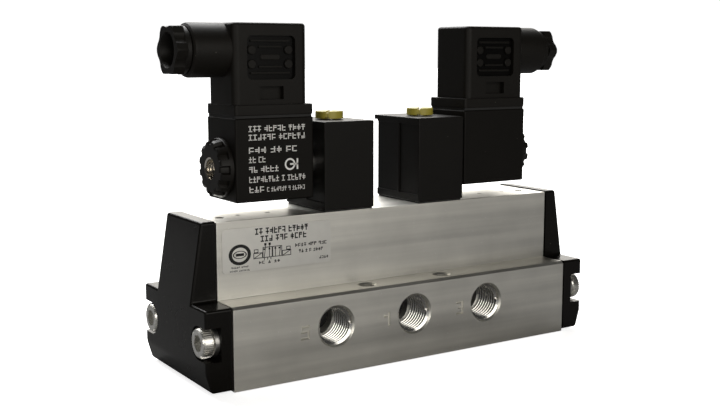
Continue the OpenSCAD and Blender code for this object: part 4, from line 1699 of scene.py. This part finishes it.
class VALVE_OT_stage(bpy.types.Operator):
    """Sets the floor, the soft studio light and the camera"""

    bl_idname = "valve.stage"
    bl_label = "Stage"

    def execute(self, context):
        self.floor()
        self.lights(context)
        self.camera(context)
        return {"FINISHED"}

    def floor(self):
        """A wide pale floor."""
        bpy.ops.object.select_all(action="DESELECT")
        bpy.ops.mesh.primitive_plane_add(size=12, location=(0, 0, -0.0002))
        floor = named("floor")
        apply_place(floor)
        floor.data.materials.append(floor_paint())

    def lights(self, context):
        """A dim even surround, a broad high light from behind, and soft lamps."""
        s = settings("stage")
        world = bpy.data.worlds.new("surround")
        world.use_nodes = True
        tree = world.node_tree
        dim = tree.nodes["Background"]
        dim.inputs["Color"].default_value = (1.0, 0.99, 0.97, 1)
        dim.inputs["Strength"].default_value = s.sky
        white = tree.nodes.new("ShaderNodeBackground")
        white.inputs["Strength"].default_value = s.backdrop
        seen = tree.nodes.new("ShaderNodeLightPath")
        mix = tree.nodes.new("ShaderNodeMixShader")
        tree.links.new(seen.outputs["Is Camera Ray"], mix.inputs[0])
        tree.links.new(dim.outputs[0], mix.inputs[1])
        tree.links.new(white.outputs[0], mix.inputs[2])
        tree.links.new(mix.outputs[0], tree.nodes["World Output"].inputs["Surface"])
        context.scene.world = world
        bpy.ops.object.light_add(type="SUN", location=(0, 0, 1))
        sun = bpy.context.object
        sun.name = "lamp_high"
        sun.data.energy = s.high_light
        sun.data.angle = math.radians(50)
        self.aimed(sun, Vector((-0.15, -0.8, -1)))
        lamps = (
            ("back", (0.75, 1.1, 0.4), (1.3, 1.3), s.back_light),
            ("front", (0.0, -1.1, 0.32), (1.0, 0.7), s.front_light),
            ("side", (-0.95, -0.75, 0.35), (0.4, 0.4), s.side_light),
        )
        for name, place, (width, height), power in lamps:
            bpy.ops.object.light_add(type="AREA", location=place)
            lamp = bpy.context.object
            lamp.name = "lamp_" + name
            lamp.data.shape = "RECTANGLE"
            lamp.data.size = width
            lamp.data.size_y = height
            lamp.data.energy = power
            lamp.data.color = (1.0, 0.965, 0.90)
            self.aimed(lamp, Vector((0, 0, 0.06)) - Vector(place))
        context.scene.view_settings.view_transform = "Standard"

    def aimed(self, lamp, direction):
        """Turns a lamp to shine along a direction."""
        lamp.rotation_euler = direction.to_track_quat("-Z", "Y").to_euler()

    def camera(self, context):
        """The camera, looking at the front and the left end."""
        s = settings("stage")
        bpy.ops.object.camera_add(location=s.camera_place)
        camera = bpy.context.object
        camera.name = "camera"
        camera.rotation_euler = (math.radians(90) - s.camera_dip, 0, -s.camera_turn)
        camera.data.sensor_width = 36
        camera.data.lens = s.lens
        camera.data.clip_start = 0.01
        context.scene.camera = camera


# ---------------------------------------------------------------- the add-on

SETTINGS = {
    "body": VALVE_PG_body, "pilot": VALVE_PG_pilot, "connector": VALVE_PG_connector,
    "stage": VALVE_PG_stage,
}
STEPS = (
    VALVE_OT_body, VALVE_OT_caps, VALVE_OT_cap_screws, VALVE_OT_nameplate, VALVE_OT_pilots,
    VALVE_OT_overrides, VALVE_OT_coils, VALVE_OT_coil_nuts, VALVE_OT_connectors, VALVE_OT_glands,
    VALVE_OT_springs, VALVE_OT_inner_parts, VALVE_OT_stage,
)


class VALVE_PT_panel(bpy.types.Panel):
    """Lists the settings and the steps that build the valve"""

    bl_idname = "VALVE_PT_panel"
    bl_label = "Solenoid Valve"
    bl_space_type = "VIEW_3D"
    bl_region_type = "UI"
    bl_category = "Valve"

    def draw(self, context):
        for name, group_class in SETTINGS.items():
            box = self.layout.box()
            box.label(text=name.capitalize())
            for key in group_class.__annotations__:
                box.prop(settings(name), key)
        for step in STEPS:
            self.layout.operator(step.bl_idname)


CLASSES = (*SETTINGS.values(), *STEPS, VALVE_PT_panel)


def register():
    for cls in CLASSES:
        bpy.utils.register_class(cls)
    for name, group_class in SETTINGS.items():
        setattr(bpy.types.Scene, "valve_" + name, bpy.props.PointerProperty(type=group_class))


def unregister():
    for name in SETTINGS:
        delattr(bpy.types.Scene, "valve_" + name)
    for cls in reversed(CLASSES):
        bpy.utils.unregister_class(cls)


def main():
    register()
    for step in STEPS:
        family, name = step.bl_idname.split(".")
        getattr(getattr(bpy.ops, family), name)()


if __name__ == "__main__":
    main()
